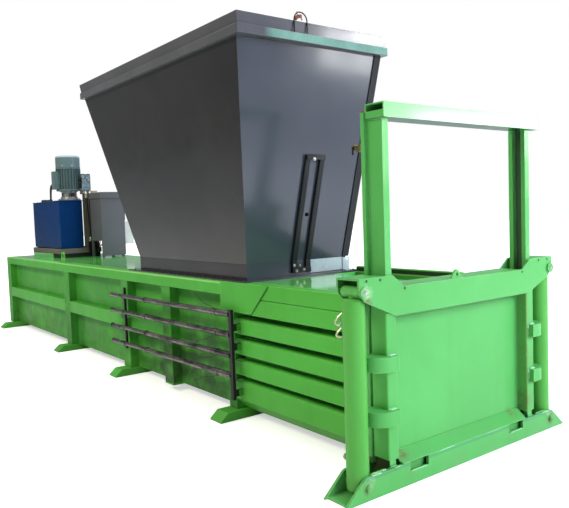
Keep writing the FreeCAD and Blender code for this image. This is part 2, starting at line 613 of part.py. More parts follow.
sleeve_front = size(S.yoke_t)
sleeves = []
straps = []
for side in (-1, 1):
    inner = S.skin_half * side
    outer = (S.post_half + S.guide_gap + S.sleeve_t) * side
    fold = S.sleeve_t * side
    sleeves.append(profile("XY", [
        (FRONT - sleeve_front, inner - fold, S.sleeve_bend),
        (FRONT - sleeve_front, outer, S.sleeve_bend),
        (FRONT - S.sleeve_back, outer),
        (FRONT - S.sleeve_back, outer - fold),
        (FRONT - sleeve_front - S.sleeve_t, outer - fold, S.sleeve_bend - S.sleeve_t),
        (FRONT - sleeve_front - S.sleeve_t, inner, S.sleeve_bend - S.sleeve_t),
        (FRONT - S.skin_front, inner),
        (FRONT - S.skin_front, inner - fold)], (S.sleeve_low, S.sleeve_top)))
    for z in (S.strap_one, S.strap_two):
        thick = S.strap_t * side
        out = S.strap_out * side
        start = S.strap_in * side
        face = FRONT + S.strap_stand
        back = FRONT - S.strap_back
        inner_line = [(back + S.strap_t, outer),
                      (back + S.strap_t, out - thick, 4),
                      (face - S.strap_t, out - thick, S.strap_bend - S.strap_t),
                      (face - S.strap_t, start + thick),
                      (FRONT - sleeve_front, start + thick)]
        straps.append(profile("XY", [
            (FRONT - sleeve_front, start),
            (face, start),
            (face, out, S.strap_bend),
            (back, out, S.strap_t + 2),
            (back, outer)] + inner_line, (z, z + S.strap_h)))
        for low_z in (z, z + S.strap_h - S.lid):
            straps.append(profile("XY", inner_line + [(FRONT - sleeve_front, outer)],
                                  (low_z, low_z + S.lid)))
node("gate_sleeves", *sleeves)
node("gate_straps", *straps)

half = [(655, S.yoke_low), (S.yoke_end - 48, S.yoke_low + 100), (S.yoke_end, S.pin_high - 5),
        (S.yoke_end, S.yoke_top), (675, S.yoke_top), (586, S.yoke_saddle)]
yoke_corners = half + [(-y, z) for y, z in reversed(half)]
holes = [(side * S.lift_y, S.pin_high, S.pin_r + S.run_gap) for side in (-1, 1)]
yoke = [profile("YZ", yoke_corners, run(0, S.yoke_t), holes),
        profile("YZ", yoke_corners, run(S.yoke_back, S.yoke_back + S.yoke_t), holes),
        block(run(S.yoke_t, S.yoke_back), (-586, 586), (S.yoke_saddle - S.cap_t, S.yoke_saddle))]
for side in (-1, 1):
    yoke.append(block(run(S.yoke_t, S.yoke_back), band(side, S.yoke_cap, S.yoke_end),
                      (S.yoke_top - S.cap_t, S.yoke_top)))
    yoke.append(block(run(S.yoke_t, S.skin_front), band(side, 560, 572),
                      (S.yoke_low, S.yoke_saddle - S.cap_t)))
    pin_run = run(0, S.yoke_back + S.yoke_t + S.pin_proud)
    shank = rod("x", S.pin_r, pin_run, 0, side * S.lift_y, S.pin_high)
    head = rod("x", S.pin_head, (FRONT, FRONT + S.pin_proud), 0, side * S.lift_y, S.pin_high)
    yoke.append(fuse(shank, head))
yoke.append(profile("YZ", [(-150, S.yoke_saddle), (-43, S.yoke_saddle), (-96, S.eye_top + 14, 20)],
                    run(S.yoke_t, S.yoke_t + 14), [(-96, S.yoke_saddle + 24, 12)]))
node("gate_yoke", *yoke)

rods = []
for side in (-1, 1):
    y = side * S.lift_y
    x = FRONT - S.lift_s
    span = run(S.lift_s - S.eye_len / 2, S.lift_s + S.eye_len / 2)
    shank = rod("z", S.lift_rod_r, (S.piston_low, S.pin_high), x, y, 0)
    piston = rod("z", S.barrel_bore - S.run_gap, (S.piston_low, S.piston_low + S.piston_h), x, y, 0)
    eye = rod("x", S.eye_r, span, 0, y, S.pin_high)
    rods.append(cut(fuse(shank, piston, eye), rod("x", S.pin_r + S.run_gap, span, 0, y, S.pin_high)))
node("lift_rods", *rods)

# ---- feed hopper ---------------------------------------------------------------------------------
t = S.hop_t
skirt = (S.skirt_low, S.fold_z)
flat = (S.rail_top, S.skirt_low)
base = [block(run(S.flange_front, S.flange_rear), band(side, WALL_IN, S.flange_half), flat)
        for side in (-1, 1)]
base.append(block(run(S.flange_front, S.hop_front + t), (-WALL_IN, WALL_IN), flat))
base.append(block(run(S.hop_rear - t, S.flange_rear), (-WALL_IN, WALL_IN), flat))
base += [block(run(S.hop_front, S.hop_rear), band(side, S.hop_half - t, S.hop_half), skirt)
         for side in (-1, 1)]
base.append(block(run(S.hop_front, S.hop_front + t), (t - S.hop_half, S.hop_half - t), skirt))
base.append(block(run(S.hop_rear - t, S.hop_rear), (t - S.hop_half, S.hop_half - t), skirt))
node("hopper_base", *base)


walls = []
for side in (-1, 1):
    walls.append(taper(run(S.hop_front, S.hop_rear), band(side, S.hop_half - t, S.hop_half), S.fold_z,
                       run(S.cone_front, S.cone_rear), band(side, S.cone_half - t, S.cone_half),
                       S.cone_top))
inner_low = (t - S.hop_half, S.hop_half - t)
inner_high = (t - S.cone_half, S.cone_half - t)
window_y = (S.bar_left_low + S.bar_right_high) / 2
window = block(run(S.cone_front, S.hop_front + t), (window_y - 18, window_y + 18),
               (S.window_z - 13, S.window_z + 13))
walls.append(cut(taper(run(S.hop_front, S.hop_front + t), inner_low, S.fold_z,
                       run(S.cone_front, S.cone_front + t), inner_high, S.cone_top), window))
walls.append(taper(run(S.hop_rear - t, S.hop_rear), inner_low, S.fold_z,
                   run(S.cone_rear - t, S.cone_rear), inner_high, S.cone_top))
node("hopper_walls", *walls)

rail_mid = S.cone_top + S.rail_h
flare, edge = S.rim_flare, S.rim_t
low_run = run(S.rim_front + flare, S.rim_rear - flare)
rim = []
for side in (-1, 1):
    rim.append(fuse(
        block(run(S.rail_front, S.rail_back), band(side, S.cone_half - t, S.rail_half),
              (S.cone_top, rail_mid)),
        taper(low_run, band(side, S.rim_half - flare - edge, S.rim_half - flare), rail_mid,
              run(S.rim_front, S.rim_rear), band(side, S.rim_half - edge, S.rim_half), S.rim_top)))
across = S.cone_half - t
low_reach = S.rim_half - flare - edge
top_reach = S.rim_half - edge
for rail, low_band, top_band in (
        (run(S.rail_front, S.cone_front + t),
         run(S.rim_front + flare, S.rim_front + flare + edge), run(S.rim_front, S.rim_front + edge)),
        (run(S.cone_rear - t, S.rail_back),
         run(S.rim_rear - flare - edge, S.rim_rear - flare), run(S.rim_rear - edge, S.rim_rear))):
    rim.append(fuse(block(rail, (-across, across), (S.cone_top, rail_mid)),
                    taper(low_band, (-low_reach, low_reach), rail_mid,
                          top_band, (-top_reach, top_reach), S.rim_top)))
node("hopper_rim", *rim)

node("hopper_corner_angle",
     taper(run(S.hop_front - S.angle_t, S.hop_front),
           (S.hop_half - S.angle_w, S.hop_half + S.angle_out), S.fold_z,
           run(S.cone_front - S.angle_t, S.cone_front),
           (S.cone_half - S.angle_w, S.cone_half + S.angle_out), S.cone_top),
     taper(run(S.hop_front, S.hop_front + 60), (S.hop_half, S.hop_half + S.angle_t), S.fold_z,
           run(S.cone_front, S.cone_front + 60), (S.cone_half, S.cone_half + S.angle_t), S.cone_top))

lean = (S.hop_front - S.cone_front) / (S.cone_top - S.fold_z)
bar_front = S.hop_front - (S.bar_top - S.fold_z) * lean


def wall_bar(y_low, y_high):
    """A flat bar up the sloping front wall, from the skirt to the switch plate."""
    w = S.bar_w / 2
    slope = taper(run(S.hop_front - S.bar_t, S.hop_front), (y_low - w, y_low + w), S.fold_z,
                  run(bar_front - S.bar_t, bar_front), (y_high - w, y_high + w), S.bar_top)
    foot_bar = block(run(S.hop_front - S.bar_t, S.hop_front), (y_low - w, y_low + w),
                     (S.skirt_low + 20, S.fold_z))
    return [slope, foot_bar]


bracket = wall_bar(S.bar_left_low, S.bar_left_high) + wall_bar(S.bar_right_low, S.bar_right_high)
half_bar = S.bar_w / 2
tie_front = bar_front - S.bar_t
bracket.append(block(run(tie_front - 6, tie_front),
                     (S.bar_left_high - half_bar, S.bar_right_high + half_bar),
                     (S.bar_top - 40, S.bar_top)))
bracket.append(block(run(S.hop_front - S.bar_t - 6, S.hop_front - S.bar_t),
                     (S.bar_left_low - half_bar, S.bar_right_low + half_bar),
                     (S.skirt_low + 22, S.skirt_low + 62)))
node("sensor_bracket", *bracket)

bail_x = FRONT - S.rim_front + S.bail_wire + S.seat_gap
bend_z = rail_mid + S.bail_rise
legs = [rod("z", S.bail_wire, (rail_mid, bend_z), bail_x, S.bail_y + k * S.bail_r, 0) for k in (-1, 1)]
hoop = doc.addObject("Part::Torus", "Hoop")
hoop.Placement = FreeCAD.Placement(FreeCAD.Vector(), FreeCAD.Rotation(FreeCAD.Vector(1, 1, 1), 120))
drive(hoop, "Radius1", S.bail_r)
drive(hoop, "Radius2", S.bail_wire)
hoop.Angle3 = 180
drive(hoop, "Placement.Base.x", bail_x)
drive(hoop, "Placement.Base.y", S.bail_y)
drive(hoop, "Placement.Base.z", bend_z)
node("wire_bail", fuse(*legs, hoop))

# ---- ram and main cylinder -----------------------------------------------------------------------
face = run(S.ram_front, S.ram_front + S.ram_face_t)
shell = run(S.ram_front + S.ram_face_t, S.ram_front + S.ram_len)
bottom = S.floor_top + S.seat_gap
t = S.ram_t
grooves = []
for k in range(4):
    z = S.slot_top - S.slot_h / 2 - k * S.slot_pitch
    grooves.append(block(run(S.ram_front, S.ram_front + 25), (-S.ram_half, S.ram_half),
                         (z - 12, z + 12)))
node("ram_box", cut(block(face, (-S.ram_half, S.ram_half), (bottom, S.ram_top)), *grooves),
     block(shell, (-S.ram_half, S.ram_half), (S.ram_top - t, S.ram_top)),
     block(shell, (-S.ram_half, S.ram_half), (bottom, bottom + t)),
     block(shell, (-S.ram_half, t - S.ram_half), (bottom + t, S.ram_top - t)),
     block(shell, (S.ram_half - t, S.ram_half), (bottom + t, S.ram_top - t)))

rod_tip = S.ram_front + S.ram_face_t
node("main_rod", fuse(
    rod("x", S.main_rod_r, run(rod_tip, S.main_piston + S.main_piston_w), 0, 0, S.main_z),
    rod("x", S.main_rod_r + 30, run(rod_tip, rod_tip + 40), 0, 0, S.main_z),
    rod("x", S.main_bore - S.run_gap, run(S.main_piston, S.main_piston + S.main_piston_w),
        0, 0, S.main_z)))

barrel = cut(
    fuse(rod("x", S.main_r, run(S.main_head, S.main_tail), 0, 0, S.main_z),
         rod("x", S.main_r + 14, run(S.main_head, S.main_head + 70), 0, 0, S.main_z),
         block(run(S.main_tail, rear - S.bulk_t - 20), (1 - S.lug_gap, S.lug_gap - 1),
               (S.main_z - 60, S.main_z + 60))),
    rod("x", S.main_bore, run(S.main_head + S.main_cap, S.main_tail - S.main_cap), 0, 0, S.main_z),
    rod("x", S.main_rod_r + S.run_gap, run(S.main_head, S.main_head + S.main_cap), 0, 0, S.main_z),
    rod("y", S.main_pin_r + S.run_gap, (-S.lug_gap, S.lug_gap), FRONT - pin_s, 0, S.main_z))
saddles = [cut(block(run(s, s + 50), (-130, 130), (S.floor_top, S.main_z)),
               rod("x", S.main_r + S.seat_gap, run(s, s + 50), 0, 0, S.main_z))
           for s in (S.main_head + S.main_len * 0.365, S.main_head + S.main_len * 0.8)]
node("main_barrel", barrel, *saddles)

# ---- power pack ----------------------------------------------------------------------------------
t = S.tray_t
tray = cut(block(run(S.tray_front, S.tray_rear), (S.tray_near, S.tray_far),
                 (S.tray_low, S.tray_low + S.tray_h)),
           block(run(S.tray_front + t, S.tray_rear - t), (S.tray_near + t, S.tray_far - t),
                 (S.tray_low + t, S.tray_low + S.tray_h)))
node("power_tray", tray)
strip_near = (S.tray_near + 15, S.tray_near + 15 + S.pad_size)
strip_far = (S.tray_far - S.pad_size - 15, S.tray_far - 15)
pads = [block(run(S.tray_front + 12, S.tray_front + 72), (strip_near[0], strip_far[1]),
              (DECK_TOP, S.tray_low))]
pads += [block(run(S.tray_front + 72, S.riser_front), ys, (DECK_TOP, S.tray_low))
         for ys in (strip_near, strip_far)]
skids = [block(run(s, s + 60), (S.tank_near + 10, S.tank_far - 10), (S.tray_low + t, S.tank_low))
         for s in (S.tank_front + 60, S.tank_rear - 120)]
node("tray_pads", *pads, *skids)

t = S.tank_t
inside = (run(S.tank_front + t, S.tank_rear - t), (S.tank_near + t, S.tank_far - t))
node("oil_tank", cut(block(run(S.tank_front, S.tank_rear), (S.tank_near, S.tank_far),
                           (S.tank_low, S.tank_high)),
                     block(inside[0], inside[1], (S.tank_low + t, S.tank_high))))
lid_top = S.tank_high + S.lid_t
mx, my = FRONT - S.motor_s, S.motor_y
nx, ny = FRONT - S.neck_s, S.neck_y
lid = block(run(S.tank_front - S.lid_lip, S.tank_rear + S.lid_lip),
            (S.tank_near - S.lid_lip, S.tank_far + S.lid_lip), (S.tank_high, lid_top))
node("tank_lid", cut(fuse(lid, rod("z", S.neck_r, (lid_top, lid_top + S.neck_h), nx, ny, 0)),
                     rod("z", S.bell_hole - 20, (S.tank_high, lid_top), mx, my, 0),
                     rod("z", S.neck_r - 5, (S.tank_high, lid_top + S.neck_h), nx, ny, 0)))
view = (lid_top + 34, S.motor_low - 34)
node("bell_housing", cut(
    fuse(rod("z", S.bell_r + 20, (lid_top, lid_top + 12), mx, my, 0),
         rod("z", S.bell_r, (lid_top, S.motor_low), mx, my, 0),
         rod("z", S.bell_r + 20, (S.motor_low - 12, S.motor_low), mx, my, 0)),
    rod("z", S.bell_hole, (lid_top, S.motor_low), mx, my, 0),
    block((mx - S.bell_r, mx + S.bell_r), (my - 42, my + 42), view),
    block((mx - 42, mx + 42), (my - S.bell_r, my + S.bell_r), view)))

cap = 14
fins = doc.addObject("Part::Feature", "Fins")
fin_solids = []
for k in range(28):
    fin = Part.makeBox(S.fin_r.value - S.motor_r.value + 4, S.fin_t.value,
                       S.motor_high.value - S.motor_low.value - 60,
                       FreeCAD.Vector(S.motor_r.value - 4, -S.fin_t.value / 2, 0))
    fin.rotate(FreeCAD.Vector(), FreeCAD.Vector(0, 0, 1), 360.0 * k / 28)
    fin.translate(FreeCAD.Vector(mx.value, my.value, S.motor_low.value + 30))
    fin_solids.append(fin)
fins.Shape = Part.makeCompound(fin_solids)
stator = cut(fuse(rod("z", S.motor_r, (S.motor_low, S.motor_high), mx, my, 0), fins,
                  rod("z", S.fin_r, (S.motor_low, S.motor_low + 22), mx, my, 0),
                  rod("z", S.fin_r - 2, (S.motor_high - 26, S.motor_high), mx, my, 0)),
             rod("z", S.stator_r, (S.motor_low + cap, S.motor_high - cap), mx, my, 0),
             rod("z", S.shaft_r + S.run_gap, (S.motor_low, S.motor_high), mx, my, 0))
box_back = mx - 85
terminal = block((box_back, mx + 60), (my - S.box_reach, my - S.motor_r + 30),
                 (S.box_low_z, S.box_high_z))
bored = rod("z", S.motor_r - 10, (S.motor_low, S.motor_high), mx, my, 0)
node("motor_body", fuse(stator, cut(terminal, bored)))

cowl = turned([(0, S.cowl_top), (S.cowl_r, S.cowl_top, S.cowl_bend), (S.cowl_r, S.motor_high),
               (S.cowl_r - S.cowl_t, S.motor_high),
               (S.cowl_r - S.cowl_t, S.cowl_top - S.cowl_t, S.cowl_bend - S.cowl_t),
               (0, S.cowl_top - S.cowl_t)], mx, my)
vents = []
for count, reach in ((6, 45), (12, 88)):
    for k in range(count):
        angle = 2 * math.pi * k / count
        vents.append(rod("z", 10, (S.cowl_top - 2 * S.cowl_t, S.cowl_top), mx + reach * math.cos(angle),
                         my + reach * math.sin(angle), 0))
node("fan_cowl", cut(cowl, *vents))

blades = []
for k in range(8):
    blade = block((-3, 3), (S.shaft_r - 2, S.fan_r), (S.motor_high + 30, S.motor_high + 85))
    spin = FreeCAD.Rotation(FreeCAD.Vector(0, 0, 1), 45 * k)
    blade.Placement = FreeCAD.Placement(FreeCAD.Vector(), spin)
    blade.setExpression("Placement.Base.x", None)
    blade.setExpression("Placement.Base.y", None)
    turn = math.radians(45 * k)
    reach = S.shaft_r - 2
    drive(blade, "Placement.Base.x", mx - reach * math.sin(turn) - 3 * math.cos(turn))
    drive(blade, "Placement.Base.y", my + reach * math.cos(turn) - 3 * math.sin(turn))
    blades.append(blade)
node("motor_rotor", fuse(
    rod("z", S.shaft_r, (lid_top + 10, S.motor_high + 95), mx, my, 0),
    rod("z", S.hub_r, (lid_top + 10, lid_top + 50), mx, my, 0),
    rod("z", S.rotor_r, (S.motor_low + 40, S.motor_high - 40), mx, my, 0),
    rod("z", S.fan_r, (S.motor_high + 24, S.motor_high + 30), mx, my, 0), *blades))

node("pump", fuse(rod("z", S.pump_r, (S.pump_low, S.tank_high - 12), mx, my, 0),
                  rod("z", S.bell_hole, (S.tank_high - 12, S.tank_high), mx, my, 0),
                  rod("z", S.shaft_r, (S.tank_high, lid_top + 9), mx, my, 0),
                  rod("z", 24, (S.tank_low + 90, S.pump_low), mx, my - 20, 0)))
rim_hole = rod("z", S.neck_r + S.run_gap, (lid_top + 1, lid_top + S.neck_h), nx, ny, 0)
node("filler_cap", cut(rod("z", S.cap_r, (lid_top + 1, lid_top + S.cap_h), nx, ny, 0), rim_hole))

floor_in = S.tray_low + S.tray_t
node("upright_panel", block(run(S.panel_s, S.panel_s + 6), (S.valve_near, S.valve_far),
                            (floor_in, S.panel_high)))
hose_y = (S.valve_near + 30, S.valve_near + 86)
ports = [rod("x", S.hose_r + 5, run(S.panel_s - 24, S.panel_s - 10), 0, y, S.valve_top - 24)
         for y in hose_y]
hose_s = S.tray_front - 18
node("valve_manifold",
     block(run(S.panel_s - 10, S.panel_s + 90), (S.valve_near, S.valve_far),
           (S.panel_high, S.valve_top)),
     block(run(S.panel_s - 58, S.panel_s + 12), (S.valve_near - 16, S.valve_near + 108),
           (S.valve_top, S.spool_top)),
     block(run(hose_s - 15, hose_s + 15), (S.valve_near + 35, S.valve_near + 150),
           (DECK_TOP, S.union_z)), *ports)
hoses = []
for y in hose_y:
    z = S.valve_top - 24
    hoses.append(pipe(S.hose_r, [(FRONT - S.panel_s + 24, y, z), (FRONT - hose_s, y, z),
                                 (FRONT - hose_s, y, z - 260),
                                 (FRONT - hose_s, y + S.hose_lean, S.union_z + 130),
                                 (FRONT - hose_s, y + S.hose_lean, S.union_z)], 32))
for k, y in enumerate((my - 190, my - 162)):
    top = S.box_low_z + 75
    far_x = box_back - 110 - 55 * k
    hoses.append(pipe(S.cable_r, [(box_back, y, top), (box_back - 60, y, top), (far_x, y, top - 60),
                                  (far_x, y, lid_top)], 34))
for k, y in enumerate((S.tray_far - 62, S.tray_far - 42, S.tray_far - 22)):
    from_x = FRONT - S.cab_rear + 60 + 45 * k
    to_x = FRONT - S.tray_front - 14 - 9 * k
    over = S.tray_low + S.tray_h + 28
    hoses.append(pipe(S.cable_r, [(from_x, y, S.cab_floor), (from_x, y, over), (to_x, y, over),
                                  (to_x, y, floor_in)], 30))
node("hoses_and_cables", *hoses)

# ---- electrical cabinet --------------------------------------------------------------------------
t = S.cab_t
cab = run(S.cab_front, S.cab_rear)
wide = (size(S.cab_near), size(S.cab_far))
hood = (run(S.cab_front - S.hood_lip, S.cab_rear + S.hood_lip),
        (S.cab_near - S.hood_lip, S.cab_far + S.door_t + S.hood_lip))
above = (S.cab_floor + t, S.cab_high - t)
legs = [block(run(a, a + S.cab_post), (b, b + S.cab_post), (DECK_TOP, S.cab_floor))
        for a in (S.cab_front + t, S.cab_rear - S.cab_post)
        for b in (S.cab_near, S.cab_far - S.cab_post)]
gap = S.door_gap
hinges = []
door_front = S.cab_far
door_out = S.cab_far + S.door_t
stop_x = FRONT - S.box_front - 60
start_x = FRONT - S.box_front - 120
reset_x = FRONT - S.box_front - 175
button_z = S.box_high - 110
handle_x = FRONT - S.cab_front - 45
hinge_x = FRONT - S.cab_rear - S.hinge_out
hinge_y = S.cab_far + S.door_t / 2
knuckles = []
hinge_holes = [rod("y", 12 + S.run_gap, (door_front, door_out), handle_x, 0, S.handle_z)]
for z in (S.hinge_low, S.hinge_high):
    top = z + S.knuckle_h
    knuckles.append(rod("z", S.knuckle_r, (z, top), hinge_x, hinge_y, 0))
    knuckles.append(block((hinge_x, FRONT - S.cab_rear + gap + 4), (hinge_y - 4, hinge_y + 4), (z, top)))
    hinge_holes.append(rod("z", S.hinge_pin_r + S.run_gap, (z, top), hinge_x, hinge_y, 0))
    hinges.append(fuse(
        rod("z", S.hinge_pin_r, (z - 9, top + 9), hinge_x, hinge_y, 0),
        *[block((hinge_x - 6, FRONT - S.cab_rear), (hinge_y - 20, hinge_y + 5), (a, a + 8))
          for a in (z - 9, top + 1)]))
node("cabinet_door", cut(fuse(block(run(S.cab_front + gap, S.cab_rear - gap), (door_front, door_out),
                                    (S.cab_low + gap, S.cab_high - gap)), *knuckles), *hinge_holes))
inner = run(S.cab_front + t, S.cab_rear)
node("cabinet_body",
     block(inner, wide, (S.cab_floor, S.cab_floor + t)),
     block(inner, wide, (S.cab_high - t, S.cab_high)),
     block(inner, (S.cab_near, S.cab_near + t), above),
     block(run(S.cab_front, S.cab_front + t), wide, (S.cab_low, S.cab_high)),
     block(run(S.cab_rear - t, S.cab_rear), (S.cab_near + t, S.cab_far), above),
     block(hood[0], hood[1], (S.cab_high, S.hood_top)),
     block(run(S.cab_front + 40, S.cab_rear - 40), (S.cab_near + t, S.cab_near + t + 12),
           (S.cab_floor + 60, S.cab_high - 60)), *legs, *hinges)
wells = [rod("y", S.stem_r + S.run_gap, (S.box_far - S.stem_deep, S.box_far), x, 0, z)
         for x, z in ((stop_x, button_z), (start_x, button_z), (reset_x, button_z))]
node("operator_box", cut(block(run(S.box_front, S.box_rear), (door_out, S.box_far),
                               (S.box_low, S.box_high)), *wells))
seat = S.box_far + S.press + 1
for name, x, radius in (("stop_button", stop_x, S.stop_r), ("start_button", start_x, S.button_r),
                        ("reset_button", reset_x, S.button_r)):
    node(name, fuse(rod("y", S.stem_r, (S.box_far - S.stem_deep + S.press + 1, seat), x, 0, button_z),
                    rod("y", radius, (seat, seat + S.button_h), x, 0, button_z)))
node("door_handle", fuse(rod("y", 12, (door_front - 4, door_out + 18), handle_x, 0, S.handle_z),
                         block((handle_x - 11, handle_x + 11), (door_out + 10, door_out + 22),
                               (S.handle_z - 110, S.handle_z + 16))))

# ---- wire tubes ----------------------------------------------------------------------------------
slant = math.degrees(math.atan2(S.tube_rise.value, S.tube_rear.value - S.tube_front.value))
lean_turn = FreeCAD.Rotation(FreeCAD.Vector(0, 1, 0), 90 - slant)
rise = S.tube_rise / (S.tube_rear - S.tube_front)


def tube_z(k, s):
    """Height of a tube's axis at a station; the tubes rise a little towards the gate."""
    return S.tube_one - k * S.tube_pitch + ((S.tube_rear + S.tube_front) / 2 - s) * rise


def leaning(k, radius, front, back):
    """A length of one tube."""
    obj = rod("x", radius, run(front, back), 0, -S.tube_y, tube_z(k, back))
    obj.Placement = FreeCAD.Placement(obj.Placement.Base, lean_turn)
    return obj


tubes = []
for k in range(4):
    tubes.append(fuse(leaning(k, S.tube_r, S.tube_front, S.tube_step + 5),
                      leaning(k, S.thin_r, S.tube_step, S.tube_rear),
                      leaning(k, S.collar_r, S.tube_front, S.collar_s)))
node("wire_tubes", *tubes)

middle = S.bar_one + S.bar_one_w / 2
ends = run(S.bar_one - 1, S.bar_one + S.bar_one_w + 1)
holes = [rod("x", S.thin_r + 0.4, ends, 0, -S.tube_y, tube_z(k, middle)) for k in range(4)]
saddle = cut(block(run(S.bar_one, S.bar_one + S.bar_one_w), (-S.bar_one_out, -S.bar_one_in),
                   (S.hang_one_low, S.hang_one_top)), *holes)
hangers = [saddle,
           block(run(S.bar_one, S.bar_one + S.bar_one_w), (-S.bar_one_in, -S.rib_face),
                 (S.mid_low + 20, S.mid_top - 20)),
           block(run(S.bar_two, S.bar_two + S.bar_two_w), (-S.bar_two_out, -S.bar_two_in),
                 (S.hang_two_low, S.hang_two_top))]
for z in (200, 560, 710):
    hangers.append(block(run(S.bar_two + 4, S.bar_two + S.bar_two_w - 4),
                         (-S.bar_two_in, -S.rib_face), (z, z + 50)))
node("tube_hangers", *hangers)

# ---- limit switch --------------------------------------------------------------------------------
hang_s = S.base_deep + 4
switch_s = hang_s + S.switch_r
hang_y = (-S.switch_in, S.hang_w - S.switch_in)
end_y = -S.switch_in - S.switch_len
node("limit_switch",
     block(run(S.top_back, hang_s - 6), hang_y, (S.top_z + 10, S.top_z + 60)),
     block(run(hang_s - 6, hang_s), hang_y, (S.switch_z - 30, S.top_z + 60)),
     cut(fuse(block(run(hang_s, switch_s + S.switch_r), (-S.switch_in - 18, hang_y[1]),
                    (S.switch_z - 22, S.switch_z + 22)),
              rod("y", S.switch_r, (end_y, -S.switch_in), FRONT - switch_s, 0, S.switch_z)),
         rod("y", 4 + S.run_gap, (end_y, end_y + 20), FRONT - switch_s, 0, S.switch_z)))
node("limit_lever", fuse(
    rod("y", 4, (end_y - 12, end_y + 18), FRONT - switch_s, 0, S.switch_z),
    block((FRONT - switch_s - 5, FRONT - switch_s + 5), (end_y - 10, end_y - 4),
          (S.switch_z - 42, S.switch_z + 6))))

doc.recompute()
os.makedirs("parts", exist_ok=True)
for obj in doc.Objects:
    if "Invalid" in obj.State or "Error" in obj.State:
        raise RuntimeError("%s is %s" % (obj.Label, obj.State))
for name, obj in NODES:
    if obj.Shape.isNull() or not obj.Shape.isValid() or not obj.Shape.Solids:
        raise RuntimeError("%s has no sound solid" % name)
    obj.Shape.exportStep("parts/%s.step" % name)
print(len(NODES), "pieces")
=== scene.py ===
import json
import math
import random

import bmesh
import bpy
from mathutils import Matrix, Quaternion, Vector


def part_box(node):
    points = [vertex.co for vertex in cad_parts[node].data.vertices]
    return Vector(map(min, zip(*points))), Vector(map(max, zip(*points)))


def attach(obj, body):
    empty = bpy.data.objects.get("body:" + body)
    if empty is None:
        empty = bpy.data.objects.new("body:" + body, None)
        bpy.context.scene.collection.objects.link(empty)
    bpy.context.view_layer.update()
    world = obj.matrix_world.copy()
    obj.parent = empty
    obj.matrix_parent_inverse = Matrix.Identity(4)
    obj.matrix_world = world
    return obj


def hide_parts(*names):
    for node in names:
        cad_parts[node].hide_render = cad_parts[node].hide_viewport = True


# Horizontal baler: finishes, welds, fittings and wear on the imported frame. Metres, +X towards the
# gate, +Z up, the wire tubes on the -Y side. Stations are distances behind the face of the gate's
# cross-beam, which is at X = FRONT.

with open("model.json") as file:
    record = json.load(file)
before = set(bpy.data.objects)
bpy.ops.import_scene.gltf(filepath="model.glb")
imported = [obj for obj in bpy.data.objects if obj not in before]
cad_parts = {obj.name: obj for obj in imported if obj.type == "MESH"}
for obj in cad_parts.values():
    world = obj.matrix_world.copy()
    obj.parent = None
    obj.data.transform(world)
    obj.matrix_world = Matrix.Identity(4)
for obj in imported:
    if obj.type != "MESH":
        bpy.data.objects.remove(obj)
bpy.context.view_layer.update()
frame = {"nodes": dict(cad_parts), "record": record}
NODES = frame["nodes"]
rng = random.Random(11)

FRONT = 4.098
SIDES = (-1, 1)
AHEAD, BACK, NEAR, FAR, UP, DOWN = (
    (1, 0, 0), (-1, 0, 0), (0, -1, 0), (0, 1, 0), (0, 0, 1), (0, 0, -1))

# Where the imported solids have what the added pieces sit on.
PIN_Y, BASE_PIN_Z, YOKE_PIN_Z = 0.903, 0.073, 1.155     # pins of the lift cylinders
STRAP_FEET = (0.385, 0.695)                             # undersides of the gate's straps
WIDE_RIBS, RIB_WIDTH = (3.750, 5.480), 0.160            # stations of the side's wide ribs
RAIL_EDGES = (0.477, 0.612)                             # edges of the side's middle rail
CHAMBER_BEAMS = (0.25, 0.36, 0.52, 0.68, 0.84)          # lower ends of the end frame's seams
TUBE_FRONT, TUBE_REAR = 1.707, 3.995                    # stations of the wire tubes' ends
TUBE_TOP, TUBE_PITCH, TUBES = 0.829, 0.160, 4           # middle height of the top tube, spacing
TUBE_RISE = 0.022 / (TUBE_REAR - TUBE_FRONT)
MOTOR_X, MOTOR_Y = -2.842, -0.030                       # the motor's axis
PRESSURE_HOSES, HOSE_STATION = (0.140, 0.196), 6.732    # Y of each hose, and their station
MOTOR_CABLES = (-0.220, -0.192)                         # Y of each
CABINET_CABLES = (0.278, 0.298, 0.318)                  # Y of each

SHARP_DEGREES = 32                                      # faces that meet above this stay crisp
BROAD_PATCH, BROAD_SCALE, FINE_SCALE = 0.4, 2.6, 40.0   # noise of large and small marks
MOTTLE = 0.12                                           # how far a plastic's tone drifts


def at(station):
    return FRONT - station


# ---- materials -----------------------------------------------------------------------------------
def is_output(source):
    """Whether a source is a (node, output) pair, not a colour or a number."""
    return isinstance(source, tuple) and isinstance(source[0], bpy.types.Node)


